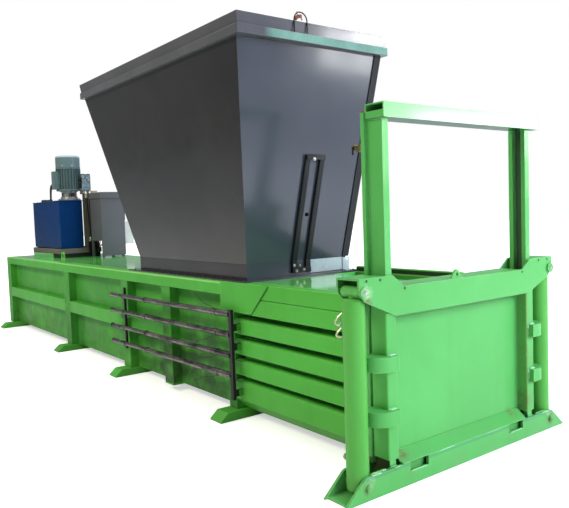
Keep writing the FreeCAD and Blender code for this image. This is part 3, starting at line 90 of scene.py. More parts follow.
class Nodes:
    """A small helper to build one node material. Sources are (node, output) pairs."""

    def __init__(self, name):
        self.mat = bpy.data.materials.new(name)
        self.mat.use_nodes = True
        self.tree = self.mat.node_tree
        self.tree.nodes.clear()
        self.out = self.add("ShaderNodeOutputMaterial")
        self.shader = self.add("ShaderNodeBsdfPrincipled")
        self.link(self.shader, "BSDF", self.out, "Surface")
        self.coords = self.add("ShaderNodeTexCoord")

    def add(self, kind, **settings):
        node = self.tree.nodes.new(kind)
        for key, value in settings.items():
            setattr(node, key, value)
        return node

    def link(self, a, out, b, into):
        self.tree.links.new(a.outputs[out], b.inputs[into])

    def feed(self, source, node, into):
        """Gives a socket a source, a colour or a number."""
        if is_output(source):
            self.link(*source, node, into)
        else:
            node.inputs[into].default_value = (
                (*source, 1.0) if isinstance(source, tuple) else source)

    def value(self, name, source):
        self.feed(source, self.shader, name)

    def noise(self, scale, detail=3.0, rough=0.55, stretch=(1, 1, 1), distortion=0.0):
        mapping = self.add("ShaderNodeMapping")
        mapping.inputs["Scale"].default_value = stretch
        self.link(self.coords, "Object", mapping, "Vector")
        node = self.add("ShaderNodeTexNoise")
        node.inputs["Scale"].default_value = scale
        node.inputs["Detail"].default_value = detail
        node.inputs["Roughness"].default_value = rough
        node.inputs["Distortion"].default_value = distortion
        self.link(mapping, "Vector", node, "Vector")
        return node, "Fac"

    def ramp(self, source, low, high, lo=0.0, hi=1.0):
        """From lo at low to hi at high, and level outside."""
        node = self.add("ShaderNodeMapRange")
        node.inputs["From Min"].default_value = low
        node.inputs["From Max"].default_value = high
        node.inputs["To Min"].default_value = lo
        node.inputs["To Max"].default_value = hi
        node.clamp = True
        self.feed(source, node, "Value")
        return node, "Result"

    def math(self, kind, a, b):
        node = self.add("ShaderNodeMath", operation=kind)
        self.feed(a, node, 0)
        self.feed(b, node, 1)
        return node, "Value"

    def product(self, first, *rest):
        for source in rest:
            first = self.math("MULTIPLY", first, source)
        return first

    def mix(self, fac, a, b):
        node = self.add("ShaderNodeMix", data_type="RGBA")
        for into, source in ((0, fac), (6, a), (7, b)):
            self.feed(source, node, into)
        return node, 2

    def coordinate(self, axis):
        """X, Y or Z of the machine at rest."""
        split = self.add("ShaderNodeSeparateXYZ")
        self.link(self.coords, "Object", split, "Vector")
        return split, axis

    def roughness(self, scale, low, high, detail=4):
        self.value("Roughness", self.ramp(self.noise(scale, detail, 0.6), 0.3, 0.7, low, high))

    def bump(self, parts, radius=0.0):
        """Height noises as (source, strength, distance), over edges rounded by a radius."""
        last = None
        if radius:
            last = self.add("ShaderNodeBevel", samples=6)
            last.inputs["Radius"].default_value = radius
        for source, strength, distance in parts:
            node = self.add("ShaderNodeBump")
            node.inputs["Strength"].default_value = strength
            node.inputs["Distance"].default_value = distance
            self.feed(source, node, "Height")
            if last:
                self.link(last, "Normal", node, "Normal")
            last = node
        self.link(last, "Normal", self.shader, "Normal")

    def near(self, centre, radius, amount):
        """High in patches round a point: broad clouds where the radius is large."""
        far = self.add("ShaderNodeVectorMath", operation="DISTANCE")
        self.link(self.coords, "Object", far, 0)
        far.inputs[1].default_value = centre
        fall = self.ramp((far, "Value"), radius, radius * 0.4, 0, amount)
        grain = self.noise(BROAD_SCALE if radius > BROAD_PATCH else FINE_SCALE, 4, 0.7)
        return self.product(fall, self.ramp(grain, 0.40, 0.58))

    def between(self, axis, low, high, soft=0.001):
        """One where a coordinate lies between two values."""
        place = self.coordinate(axis)
        return self.product(self.ramp(place, low, low + soft), self.ramp(place, high + soft, high))

    def edge(self):
        """High on the sharp edges of a piece."""
        bevel = self.add("ShaderNodeBevel", samples=4)
        bevel.inputs["Radius"].default_value = 0.006
        geo = self.add("ShaderNodeNewGeometry")
        dot = self.add("ShaderNodeVectorMath", operation="DOT_PRODUCT")
        self.link(bevel, "Normal", dot, 0)
        self.link(geo, "Normal", dot, 1)
        return self.ramp((dot, "Value"), 0.99, 0.80)

    def facing_ahead(self):
        """One on faces that look along +X."""
        geo = self.add("ShaderNodeNewGeometry")
        split = self.add("ShaderNodeSeparateXYZ")
        self.link(geo, "Normal", split, "Vector")
        return self.ramp((split, "X"), 0.5, 0.9)


def paint(name, base, deep, rough=(0.26, 0.42), coat=0.15, gloss=0.4, wavy=0.25, wave=2.1,
          dust=(0.20, 0.17, 0.13), dust_top=0.35, dust_amount=0.0, streaks=0.25, scuffs=0.22,
          chips=(0.16, 0.15, 0.14), chip_amount=0.35, rim=(), rim_amount=0.5,
          bands=(), hollows=(), patches=(), ahead=()):
    """Sprayed machine paint: drifting tone, run-down streaks, scuffs, rubbed edges with a painted
    highlight, orange peel.

    bands are (low, high, axis, tint, amount), hollows (low corner, high corner, tint, amount) and
    patches (centre, radius, tint, amount). Bands carry colours of the paint and also painted light
    and shade; hollows carry painted shade. ahead is a painted light tint for faces that look along
    +X, which then have the full coat.
    """
    m = Nodes(name)
    tone = m.ramp(m.noise(0.9, 4, 0.6, distortion=0.4), 0.35, 0.68)
    colour = m.mix(tone, deep, base)
    if streaks:
        streak = m.ramp(m.noise(9.0, 5, 0.62, (1, 1, 0.12)), 0.52, 0.78, 0, streaks)
        colour = m.mix(streak, colour, tuple(c * 0.55 for c in base))
    if scuffs:
        scuff = m.ramp(m.noise(38.0, 6, 0.7, (0.35, 0.35, 1), 0.8), 0.66, 0.74, 0, scuffs)
        colour = m.mix(scuff, colour, tuple(min(1.0, c * 1.35 + 0.03) for c in base))
    if dust_amount:
        low = m.ramp(m.coordinate("Z"), dust_top, 0.02, 0, dust_amount)
        blotch = m.ramp(m.noise(5.0, 5, 0.65), 0.38, 0.70)
        colour = m.mix(m.product(low, blotch), colour, dust)
    for low, high, axis, tint, amount in bands:
        colour = m.mix(m.product(m.between(axis, low, high, 0.004), amount), colour, tint)
    for low, high, tint, amount in hollows:
        inside = [m.between(axis, low[i], high[i]) for i, axis in enumerate("XYZ")]
        colour = m.mix(m.product(*inside, amount), colour, tint)
    for centre, radius, tint, amount in patches:
        colour = m.mix(m.near(centre, radius, amount), colour, tint)
    # Painted light: faces that look along +X take a tint of their own.
    if ahead:
        facing = m.facing_ahead()
        colour = m.mix(facing, colour, ahead)
    edge = m.edge()
    # Painted highlight: a light colour along the sharp edges.
    if rim:
        light = m.ramp(m.noise(3.0, 3, 0.6), 0.30, 0.55, 0.2 * rim_amount, rim_amount)
        colour = m.mix(m.product(edge, light), colour, rim)
    worn = m.ramp(m.noise(24.0, 5, 0.7), 0.54, 0.66, 0, chip_amount)
    colour = m.mix(m.product(edge, worn), colour, chips)
    m.value("Base Color", colour)
    m.roughness(3.2, *rough)
    m.value("Coat Weight", m.ramp(facing, 0, 1, coat * 0.12, coat) if ahead else coat)
    m.value("Coat Roughness", 0.1)
    m.value("Specular IOR Level", gloss)
    m.bump([(m.noise(wave, 2, 0.5), wavy, 0.012), (m.noise(420.0, 2, 0.5), 0.06, 0.0006)], 0.004)
    return m.mat


def metal(name, base, dark, rough=(0.25, 0.5), grime=0.4, stretch=(1, 1, 1), scale=14.0):
    """Bare or oiled metal with grime in patches."""
    m = Nodes(name)
    patch = m.ramp(m.noise(scale, 5, 0.65, stretch, 0.4), 0.36, 0.70)
    colour = m.mix(patch, dark, base)
    fleck = m.ramp(m.noise(scale * 9, 4, 0.7), 0.60, 0.74, 0, grime)
    m.value("Base Color", m.mix(fleck, colour, tuple(c * 0.4 for c in dark)))
    m.value("Metallic", 0.85)
    m.roughness(scale * 2, *rough)
    m.bump([(m.noise(scale * 22, 3, 0.6), 0.12, 0.0008)])
    return m.mat


def plastic(name, base, rough=0.45):
    """Moulded plastic or rubber with a mottled tone and a fine grain."""
    m = Nodes(name)
    tone = m.ramp(m.noise(7.0, 4, 0.6), 0.35, 0.7)
    m.value("Base Color", m.mix(tone, tuple(c * (1 - MOTTLE) for c in base),
                                tuple(min(1, c * (1 + MOTTLE)) for c in base)))
    m.roughness(30.0, rough - 0.06, rough + 0.1, 3)
    m.bump([(m.noise(700.0, 2, 0.5), 0.1, 0.0005)])
    return m.mat


GREEN, DEEP_GREEN = (0.088, 0.440, 0.058), (0.070, 0.350, 0.040)
GATE_GREENS = (0.102, 0.425, 0.104), (0.082, 0.360, 0.080)
# The colour of the painted highlight on the green paints' edges.
HIGHLIGHT_LIME = (0.30, 0.68, 0.24)
BARE = (0.62, 0.66, 0.50)
DIRT = (0.16, 0.115, 0.055)
GREASE = (0.038, 0.024, 0.036)
SHADE = (0.022, 0.016, 0.026)
# Painted shade for the openings at the posts' feet.
OPENING_SHADE = (0.060, 0.030, 0.028)


def body_paint(name, **more):
    """The satin green of the machine's body."""
    settings = dict(dust_amount=0.35, rim=HIGHLIGHT_LIME, rim_amount=0.85, gloss=0.12, coat=0.0,
                    rough=(0.32, 0.48))
    settings.update(more)
    return paint(name, GREEN, DEEP_GREEN, **settings)


def gate_paint(name, **more):
    """The brighter second coat that the gate and its frame have in the photograph."""
    settings = dict(rim=HIGHLIGHT_LIME, rim_amount=0.8, dust_amount=0.2, streaks=0.15, coat=0.03, gloss=0.2,
                    rough=(0.28, 0.42))
    settings.update(more)
    return paint(name, *GATE_GREENS, **settings)


def dark_paint(name, **more):
    return paint(name, (0.016, 0.016, 0.018), (0.010, 0.010, 0.011), rough=(0.35, 0.55), coat=0.0,
                 chips=(0.2, 0.19, 0.18), gloss=0.3, **more)


def rod_finish():
    """Ground rod below, green painted eye above."""
    m = Nodes("rod_finish")
    eye = m.ramp(m.coordinate("Z"), 1.118, 1.122)
    grain = m.ramp(m.noise(18.0, 5, 0.65, (1, 1, 0.2)), 0.36, 0.70)
    m.value("Base Color", m.mix(eye, m.mix(grain, (0.55, 0.55, 0.56), (0.72, 0.72, 0.73)),
                                m.mix(grain, (0.075, 0.36, 0.06), (0.10, 0.45, 0.08))))
    m.value("Metallic", m.ramp(eye, 0, 1, 0.9, 0.0))
    m.value("Roughness", m.ramp(eye, 0, 1, 0.14, 0.36))
    m.bump([(m.noise(300.0, 3, 0.6), 0.08, 0.0006)])
    return m.mat


def valve_finish():
    """Brass manifold with a dark underside, and blue-grey valve bodies above."""
    m = Nodes("valve_finish")
    high = m.ramp(m.coordinate("Z"), 2.021, 2.023)
    under = m.ramp(m.coordinate("Z"), 1.990, 1.976)
    grain = m.ramp(m.noise(26.0, 5, 0.7), 0.40, 0.62)
    brass = m.mix(grain, (0.42, 0.33, 0.20), (0.66, 0.56, 0.40))
    blue = m.mix(grain, (0.075, 0.115, 0.150), (0.22, 0.31, 0.37))
    m.value("Base Color", m.mix(high, m.mix(under, brass, (0.02, 0.018, 0.016)), blue))
    m.value("Metallic", m.ramp(high, 0, 1, 0.55, 0.1))
    m.roughness(30.0, 0.3, 0.5)
    m.bump([(m.noise(260.0, 3, 0.6), 0.15, 0.0008)], 0.003)
    return m.mat


def rim_finish():
    """Dark rim paint, with a painted mint reflection on the front rail and painted edge highlights.
    """
    m = Nodes("rim_finish")
    tone = m.ramp(m.noise(1.6, 4, 0.6, distortion=0.4), 0.35, 0.68)
    dark = m.mix(tone, (0.070, 0.068, 0.076), (0.088, 0.086, 0.096))
    grain = m.ramp(m.noise(5.0, 5, 0.65), 0.36, 0.66)
    mint = m.mix(grain, (0.125, 0.245, 0.190), (0.185, 0.330, 0.262))
    # Painted reflection: only the rail across the front takes the pale mint.
    rail = m.product(m.ramp(m.coordinate("X"), 2.700, 2.704),
                     m.ramp(m.coordinate("Z"), 2.9475, 2.9465),
                     m.ramp(m.coordinate("Z"), 2.8855, 2.8865),
                     m.ramp(m.coordinate("Y"), -0.520, -0.430))
    colour = m.mix(rail, dark, mint)
    # Painted highlight: a pale grey along the sharp edges.
    m.value("Base Color", m.mix(m.product(m.edge(), 0.25), colour, (0.30, 0.31, 0.33)))
    m.roughness(3.2, 0.12, 0.22)
    m.value("Coat Weight", 0.5)
    m.value("Coat Roughness", 0.08)
    m.bump([(m.noise(1.6, 2, 0.5), 0.15, 0.012), (m.noise(420.0, 2, 0.5), 0.06, 0.0006)], 0.004)
    return m.mat


# One finish for each material slot of the record.
MATS = {
    "green_paint": body_paint("green_paint"),
    # The hopper's faces that look along +X take a paler blue-grey: a painted reflection.
    "hopper_paint": paint("hopper_paint", (0.030, 0.029, 0.029), (0.022, 0.022, 0.023),
                          rough=(0.16, 0.26), coat=0.45, gloss=0.42, chip_amount=0.2, wavy=0.7,
                          wave=1.3, streaks=0.0, scuffs=0.08, ahead=(0.039, 0.043, 0.057)),
    # The tank's edges take a paler blue: a painted highlight.
    "tank_paint": paint("tank_paint", (0.002, 0.038, 0.165), (0.002, 0.027, 0.122),
                        chip_amount=0.25, rough=(0.25, 0.36), rim=(0.10, 0.20, 0.40), gloss=0.05,
                        coat=0.0, scuffs=0.1),
    "cabinet_paint": paint("cabinet_paint", (0.124, 0.123, 0.144), (0.102, 0.100, 0.114),
                           chip_amount=0.1, rough=(0.35, 0.5), gloss=0.2, coat=0.0),
    "motor_paint": paint("motor_paint", (0.125, 0.190, 0.205), (0.078, 0.125, 0.140),
                         chip_amount=0.4, rough=(0.35, 0.55), coat=0.05),
    "tray_paint": paint("tray_paint", (0.190, 0.160, 0.150), (0.130, 0.105, 0.098),
                        chips=(0.22, 0.08, 0.03), chip_amount=0.6, rough=(0.45, 0.65), coat=0.0,
                        gloss=0.25),
    "bare_steel": metal("bare_steel", (0.50, 0.50, 0.50), (0.26, 0.25, 0.24)),
    "ground_rod": metal("ground_rod", (0.72, 0.72, 0.73), (0.55, 0.55, 0.56), (0.08, 0.2), 0.15),
    "dark_steel": dark_paint("dark_steel"),
    "tube_steel": metal("tube_steel", (0.340, 0.285, 0.285), (0.030, 0.024, 0.026), (0.24, 0.38),
                        0.6, (0.25, 1, 1), 16.0),
    "cast_housing": metal("cast_housing", (0.42, 0.44, 0.46), (0.22, 0.23, 0.24), (0.4, 0.6), 0.4),
    "valve_brass": metal("valve_brass", (0.46, 0.36, 0.22), (0.20, 0.15, 0.09), (0.3, 0.5), 0.5),
    "black_rubber": plastic("black_rubber", (0.012, 0.011, 0.011), 0.6),
    "box_plastic": plastic("box_plastic", (0.62, 0.61, 0.58), 0.5),
    "red_plastic": plastic("red_plastic", (0.50, 0.012, 0.012), 0.3),
    "green_plastic": plastic("green_plastic", (0.015, 0.30, 0.06), 0.3),
    "blue_plastic": plastic("blue_plastic", (0.015, 0.06, 0.36), 0.3),
    "black_plastic": plastic("black_plastic", (0.02, 0.02, 0.021), 0.4),
}
COWL_TOP = max(corner[2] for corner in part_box("fan_cowl"))

# Finishes with marks of their own, and the nodes that have them. First the gate: dirt at its feet,
# sleeves with dirt and painted light on their faces, and a yoke with a bared corner and painted
# shade in the slots of its ends.
GATE_GREEN = gate_paint("gate_green", patches=(((4.05, 0.525, 0.195), 0.06, DIRT, 0.8),
                                               ((4.05, -0.575, 0.185), 0.06, DIRT, 0.8)))
# The sleeves' inner faces take a lighter olive, part dirt and part painted light; the near sleeve's
# outer face takes a brighter green, painted light on a side in shade.
SLEEVE_GREEN = gate_paint(
    "sleeve_green",
    bands=((0.6405, 0.6505, "Y", (0.190, 0.330, 0.085), 0.75),
           (-0.6505, -0.6405, "Y", (0.150, 0.270, 0.085), 0.75),
           (-0.7270, -0.7220, "Y", (0.130, 0.560, 0.095), 0.85)),
    patches=(((4.03, 0.644, 0.25), 0.10, DIRT, 0.5), ((4.03, 0.644, 0.55), 0.16, DIRT, 0.25),
             ((4.03, 0.644, 0.85), 0.16, DIRT, 0.2)))
YOKE_GREEN = gate_paint(
    "yoke_green", coat=0.1,
    patches=(((4.112, -0.885, 1.150), 0.060, BARE, 0.45),
             ((4.100, -0.868, 1.098), 0.035, DIRT, 0.9)),
    # Painted shade in the slots of the yoke's ends.
    hollows=(((3.9275, -0.945, 1.172), (4.0855, -0.70, 1.2198), SHADE, 0.95),
             ((3.9275, 0.70, 1.172), (4.0855, 0.945, 1.2198), SHADE, 0.95)))
# The gate's frame: worn pin plates, a painted shadow on the base beam, painted shade under the top
# beam, greased post slots and painted shade in the openings at their feet.
BASE_GREEN = gate_paint(
    # Painted shadow: a dark teal band under the sill's edge, on the base beam's front.
    "base_green", bands=((0.112, 0.1335, "Z", (0.045, 0.200, 0.125), 0.4),),
    patches=(((4.112, -0.903, 0.073), 0.05, DIRT, 0.8), ((4.112, 0.903, 0.073), 0.06, DIRT, 0.9),
             ((4.112, -0.89, 0.10), 0.05, BARE, 0.3), ((4.112, 0.88, 0.12), 0.04, BARE, 0.3)))
# Faces that look along +X take an even painted light tint and the full coat; the band is painted
# shade on the beam's underside.
BEAM_GREEN = gate_paint("beam_green", coat=0.75, gloss=0.12, rough=(0.14, 0.2), wavy=0.05,
                        ahead=(0.102, 0.425, 0.108),
                        bands=((2.1000, 2.1120, "Z", (0.008, 0.075, 0.050), 0.85),))
# Faces that look along +X take an even painted light tint and the full coat; the bands are grease,
# and the hollows painted shade in the openings at the posts' feet.
POST_GREEN = gate_paint(
    "post_green", coat=0.45, ahead=(0.102, 0.425, 0.104),
    bands=((0.690, 0.6955, "Y", GREASE, 0.95), (-0.6965, -0.691, "Y", GREASE, 0.5)),
    hollows=(((3.90, -0.742, 0.0), (4.068, -0.702, 0.168), OPENING_SHADE, 0.9),
             ((3.90, 0.702, 0.0), (4.068, 0.742, 0.168), OPENING_SHADE, 0.9)))
BARREL_GREEN = paint("barrel_green", (0.092, 0.390, 0.062), (0.078, 0.340, 0.050), rim=HIGHLIGHT_LIME,
                     rim_amount=0.8, streaks=0.3, coat=0.03, gloss=0.2, rough=(0.28, 0.42),
                     dust_amount=0.2)
# The body: a glossy deck and roof in a lighter green, painted light on top faces; walls that grow
# darker in clouds towards the bottom; painted shade in the chamber's rails, and a painted
# highlight along the side rails.
LIT_ROOF_GREEN = paint("lit_roof_green", (0.13, 0.56, 0.12), (0.10, 0.47, 0.09), rim=HIGHLIGHT_LIME,
                   rough=(0.07, 0.16), coat=0.3, gloss=0.5, wavy=0.08)
# The walls grow darker towards the bottom, through a dark olive dust, and darker still in broad
# clouds low on the chamber.
WALL_GREEN = paint(
    "wall_green", (0.090, 0.415, 0.048), (0.050, 0.265, 0.038), dust=(0.045, 0.050, 0.028),
    dust_top=0.72, dust_amount=0.75, rim=HIGHLIGHT_LIME, gloss=0.12, coat=0.0, rough=(0.34, 0.5),
    streaks=0.4, patches=(((2.0, -0.53, 0.20), 0.95, (0.034, 0.085, 0.030), 0.7),
                          ((1.2, -0.53, 0.15), 0.80, (0.034, 0.070, 0.030), 0.7),
                          ((1.6, 0.53, 0.20), 0.95, (0.034, 0.062, 0.030), 0.6)))
# The band and the hollows are painted shade inside the chamber's rails.
RAIL_GREEN = body_paint(
    "rail_green", dust_amount=0.0, rim_amount=0.9, bands=((0.5085, 0.5115, "Y", SHADE, 0.92),),
    hollows=(((0.0, 0.557, 1.0), (4.0, 0.562, 1.112), SHADE, 0.92),
             ((0.0, -0.562, 1.0), (4.0, -0.557, 1.112), SHADE, 0.92)))
# The band is a painted highlight along the top of the side rails.
SIDE_RAIL_GREEN = body_paint("side_rail_green",
                             bands=((1.054, 1.068, "Z", (0.30, 0.68, 0.20), 0.75),))
# The hanger's feet are green, and the cowl has a painted highlight along its top edge.
HANGER = dark_paint("hanger_steel", bands=((-0.6490, -0.50, "Y", (0.060, 0.270, 0.040), 1.0),))
COWL = paint("cowl_paint", (0.150, 0.220, 0.240), (0.100, 0.155, 0.175), chip_amount=0.4,
             rough=(0.3, 0.45), coat=0.1, rim=(0.45, 0.52, 0.55),
             bands=((COWL_TOP - 0.030, COWL_TOP + 0.010, "Z", (0.42, 0.50, 0.53), 0.8),))
SPECIAL = {name: mat for mat, names in (
    (GATE_GREEN, ("gate_panel", "gate_straps", "gate_sill")),
    (SLEEVE_GREEN, ("gate_sleeves",)),
    (YOKE_GREEN, ("gate_yoke",)),
    (BASE_GREEN, ("gate_base_beam",)),
    (BEAM_GREEN, ("gate_top_beam",)),
    (POST_GREEN, ("guide_post_near", "guide_post_far")),
    (BARREL_GREEN, ("lift_barrels",)),
    (LIT_ROOF_GREEN, ("chamber_roof", "deck_plate")),
    (WALL_GREEN, ("side_wall_near", "side_wall_far", "side_ribs_near", "side_ribs_far")),
    (RAIL_GREEN, ("chamber_rails",)),
    (SIDE_RAIL_GREEN, ("side_rails_near", "side_rails_far")),
    (HANGER, ("tube_hangers",)),
    (COWL, ("fan_cowl",)),
    (rod_finish(), ("lift_rods",)),
    (valve_finish(), ("valve_manifold",)),
    (rim_finish(), ("hopper_rim",)),
    (MATS["dark_steel"], ("wire_bail",)),
    (MATS["valve_brass"], ("limit_switch",)),
) for name in names}

for part in frame["record"]["subparts"]:
    obj = NODES[part["node"]]
    mat = SPECIAL.get(part["node"], MATS[part["material_slot"]])
    if not obj.material_slots:
        obj.data.materials.append(mat)
    for slot in obj.material_slots:
        slot.material = mat


# ---- added pieces --------------------------------------------------------------------------------
def piece(name, bm, body, mat):
    """A finished mesh piece that rides on a body."""
    bmesh.ops.recalc_face_normals(bm, faces=bm.faces)
    mesh = bpy.data.meshes.new(name)
    bm.to_mesh(mesh)
    bm.free()
    for face in mesh.polygons:
        face.use_smooth = True
    mesh.set_sharp_from_angle(angle=math.radians(SHARP_DEGREES))
    mesh.materials.append(mat)
    obj = bpy.data.objects.new(name, mesh)
    bpy.context.scene.collection.objects.link(obj)
    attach(obj, body)


def axes(direction):
    """A direction at unit length, and two square to it."""
    ahead = Vector(direction).normalized()
    helper = Vector((0, 0, 1)) if abs(ahead.z) < 0.9 else Vector((1, 0, 0))
    side = ahead.cross(helper).normalized()
    return ahead, side, side.cross(ahead)


def skin(bm, rows):
    """Walls between rings of corners, closed at both ends."""
    sides = len(rows[0])
    for low, high in zip(rows, rows[1:]):
        for k in range(sides):
            bm.faces.new((low[k], low[(k + 1) % sides], high[(k + 1) % sides], high[k]))
    bm.faces.new(rows[0][::-1])
    bm.faces.new(rows[-1])


def turned(bm, base, direction, rings, sides=16, twist=0.0):
    """Rings of (radius, height) round an axis."""
    ahead, side, up = axes(direction)
    rows = []
    for radius, height in rings:
        row = []
        for k in range(sides):
            a = twist + 2 * math.pi * k / sides
            row.append(bm.verts.new(Vector(base) + ahead * height
                                    + (side * math.cos(a) + up * math.sin(a)) * radius))
        rows.append(row)
    skin(bm, rows)


def bolt(bm, base, direction, radius, height=None):
    """A hexagon head with a chamfer on a washer."""
    height = height or radius * 0.8
    turned(bm, base, direction, [(radius * 1.35, -0.001), (radius * 1.4, radius * 0.1),
                                 (radius * 1.35, radius * 0.2), (radius * 0.9, radius * 0.22)], 20)
    turned(bm, base, direction, [(radius * 0.98, radius * 0.15), (radius, radius * 0.2),
                                 (radius, height * 0.85), (radius * 0.86, height),
                                 (radius * 0.5, height * 1.02)], 6, rng.random())


def swept(bm, points, radii, sides=10):
    """A tube along points, with its own radius at each."""
    points = [Vector(p) for p in points]
    rows = []
    last = None
    for i, point in enumerate(points):
        ahead = (points[min(i + 1, len(points) - 1)] - points[max(i - 1, 0)]).normalized()
        if last is None:
            last = axes(ahead)[1]
        side = (last - ahead * last.dot(ahead)).normalized()
        last = side
        up = side.cross(ahead)
        rows.append([bm.verts.new(point + (side * math.cos(2 * math.pi * k / sides)
                                           + up * math.sin(2 * math.pi * k / sides)) * radii[i])
                     for k in range(sides)])
    skin(bm, rows)


def along(points, step):
    """Points every step or so along a broken line."""
    found = [Vector(points[0])]
    for a, b in zip(points, points[1:]):
        a, b = Vector(a), Vector(b)
        count = max(1, round((b - a).length / step))
        found += [a.lerp(b, (k + 1) / count) for k in range(count)]
    return found


def weld(bm, points, radius=0.005):
    """A rippled weld bead along a broken line."""
    line = along(points, radius * 0.55)
    radii = []
    for i, _ in enumerate(line):
        ripple = 0.86 + 0.16 * abs(math.sin(i * 0.9)) + rng.uniform(-0.06, 0.06)
        end = min(1.0, 0.45 + 0.25 * min(i, len(line) - 1 - i))
        radii.append(radius * ripple * end)
    jitter = [p + Vector([rng.uniform(-0.1, 0.1) * radius for _ in range(3)]) for p in line]
    swept(bm, jitter, radii, 7)


def box(bm, low, high, soft=0.003, parts=2):
    """A box between two corners with rounded edges."""
    verts = [bm.verts.new((x, y, z)) for x in (low[0], high[0]) for y in (low[1], high[1])
             for z in (low[2], high[2])]
    faces = [bm.faces.new([verts[i] for i in loop]) for loop in
             ((0, 1, 3, 2), (4, 6, 7, 5), (0, 4, 5, 1), (2, 3, 7, 6), (0, 2, 6, 4), (1, 5, 7, 3))]
    edges = list(dict.fromkeys(e for f in faces for e in f.edges))
    bmesh.ops.bevel(bm, geom=edges, offset=soft, segments=parts, profile=0.5, affect="EDGES")


def tube_height(k, station):
    """Height of wire tube k, counted from the top one, at a station: they rise to the front."""
    return TUBE_TOP - TUBE_PITCH * k + ((TUBE_REAR + TUBE_FRONT) / 2 - station) * TUBE_RISE


def round_motor(radius, angle):
    """X and Y of a place round the motor's axis."""
    return MOTOR_X + radius * math.cos(angle), MOTOR_Y + radius * math.sin(angle)


WELD_GREEN = gate_paint("weld_green", coat=0.6, gloss=0.6, rough=(0.12, 0.22), streaks=0.0)
# A pale green for weld beads: a painted highlight.
WELD_HIGHLIGHT = paint("highlight_weld", (0.40, 0.74, 0.46), (0.16, 0.50, 0.17), rough=(0.12, 0.22),
               coat=0.6, gloss=0.6, streaks=0.0)
ZINC = metal("zinc", (0.66, 0.66, 0.64), (0.40, 0.39, 0.36), (0.25, 0.42), 0.35, scale=60.0)
CREAM = metal("yellow_zinc", (0.98, 0.92, 0.72), (0.78, 0.68, 0.48), (0.3, 0.45), 0.3, scale=50.0)
RUSTY = paint("rusty_wire", (0.26, 0.11, 0.07), (0.16, 0.06, 0.04), rough=(0.6, 0.8), gloss=0.2,
              coat=0.0)
SHEET = paint("galvanised_sheet", (0.46, 0.53, 0.53), (0.34, 0.42, 0.42), rough=(0.2, 0.32),
              coat=0.3, gloss=0.5, streaks=0.3, chip_amount=0.1)

# Weld beads on the gate: strap ends, sleeves and yoke.
bm = bmesh.new()
for side in SIDES:
    for z in STRAP_FEET:
        top = z + 0.084
        weld(bm, [(at(0.011), side * 0.660, z + 0.004), (at(0.011), side * 0.660, top)], 0.006)
        weld(bm, [(at(0.011), side * 0.700, z), (at(0.011), side * 0.665, z)], 0.006)
    weld(bm, [(at(0.012), side * 0.655, 1.000), (at(0.012), side * 0.722, 1.018)])
    weld(bm, [(at(0.013), side * 0.642, 0.178), (at(0.089), side * 0.642, 0.178)])
    weld(bm, [(at(0.089), side * 0.645, 0.20), (at(0.089), side * 0.645, 1.00)])
weld(bm, [(at(0.012), -0.150, 1.166), (at(0.012), -0.045, 1.166)])
piece("gate_welds", bm, "gate", WELD_GREEN)

# Weld beads on the gate's frame: pin plates, sill, post feet, top beam and post strips.
bm = bmesh.new()
for side in SIDES:
    weld(bm, [(at(0.019), side * 0.875, 0.134), (at(0.019), side * 0.745, 0.134)], 0.009)
    weld(bm, [(at(0.020), side * 0.712, 0.134), (at(0.020), side * 0.655, 0.134)], 0.008)
    weld(bm, [(at(0.022), side * 0.617, 0.136), (at(0.084), side * 0.617, 0.186)], 0.007)
    weld(bm, [(at(0.023), side * 0.709, 0.135), (at(0.140), side * 0.709, 0.012)], 0.006)
    weld(bm, [(at(0.023), side * 0.707, 2.108), (at(0.023), side * 0.662, 2.108)], 0.008)
    weld(bm, [(at(0.023), side * 0.709, 2.108), (at(0.138), side * 0.709, 2.108)], 0.006)
    for k in range(9):
        z = 0.35 + 0.2 * k
        weld(bm, [(at(0.139), side * 0.710, z), (at(0.139), side * 0.710, z + 0.05)], 0.004)
        weld(bm, [(at(0.165), side * 0.734, z + 0.04), (at(0.165), side * 0.712, z + 0.04)], 0.004)
weld(bm, [(at(0.004), -0.718, 2.118), (at(0.004), -0.718, 2.15)])
weld(bm, [(at(0.0), -0.700, 0.1335), (at(0.0), -0.640, 0.1335)], 0.007)
piece("frame_welds", bm, "frame", WELD_GREEN)

# Beads painted pale as a painted highlight, on the cross-beam and on the lids of the straps.
bm = bmesh.new()
for side in SIDES:
    weld(bm, [(at(0.0), side * 0.560, 0.0790), (at(0.0), side * 0.420, 0.0790)], 0.0045)
    weld(bm, [(at(0.001), side * 0.880, 0.1335), (at(0.001), side * 0.800, 0.1335)], 0.006)
    weld(bm, [(at(0.001), side * 0.300, 0.1345), (at(0.001), side * 0.160, 0.1345)], 0.003)
piece("highlight_welds", bm, "frame", WELD_HIGHLIGHT)
bm = bmesh.new()
for side in SIDES:
    for z in STRAP_FEET:
        top = z + 0.085
        for step, reach in ((0.003, 0.716), (0.011, 0.724), (0.020, 0.712)):
            weld(bm, [(at(step), side * reach, top + 0.001),
                      (at(step), side * 0.664, top + 0.001)], 0.0085)
        weld(bm, [(at(0.012), side * 0.658, top), (at(0.012), side * 0.658, top - 0.030)], 0.007)
piece("lid_welds", bm, "gate", WELD_HIGHLIGHT)

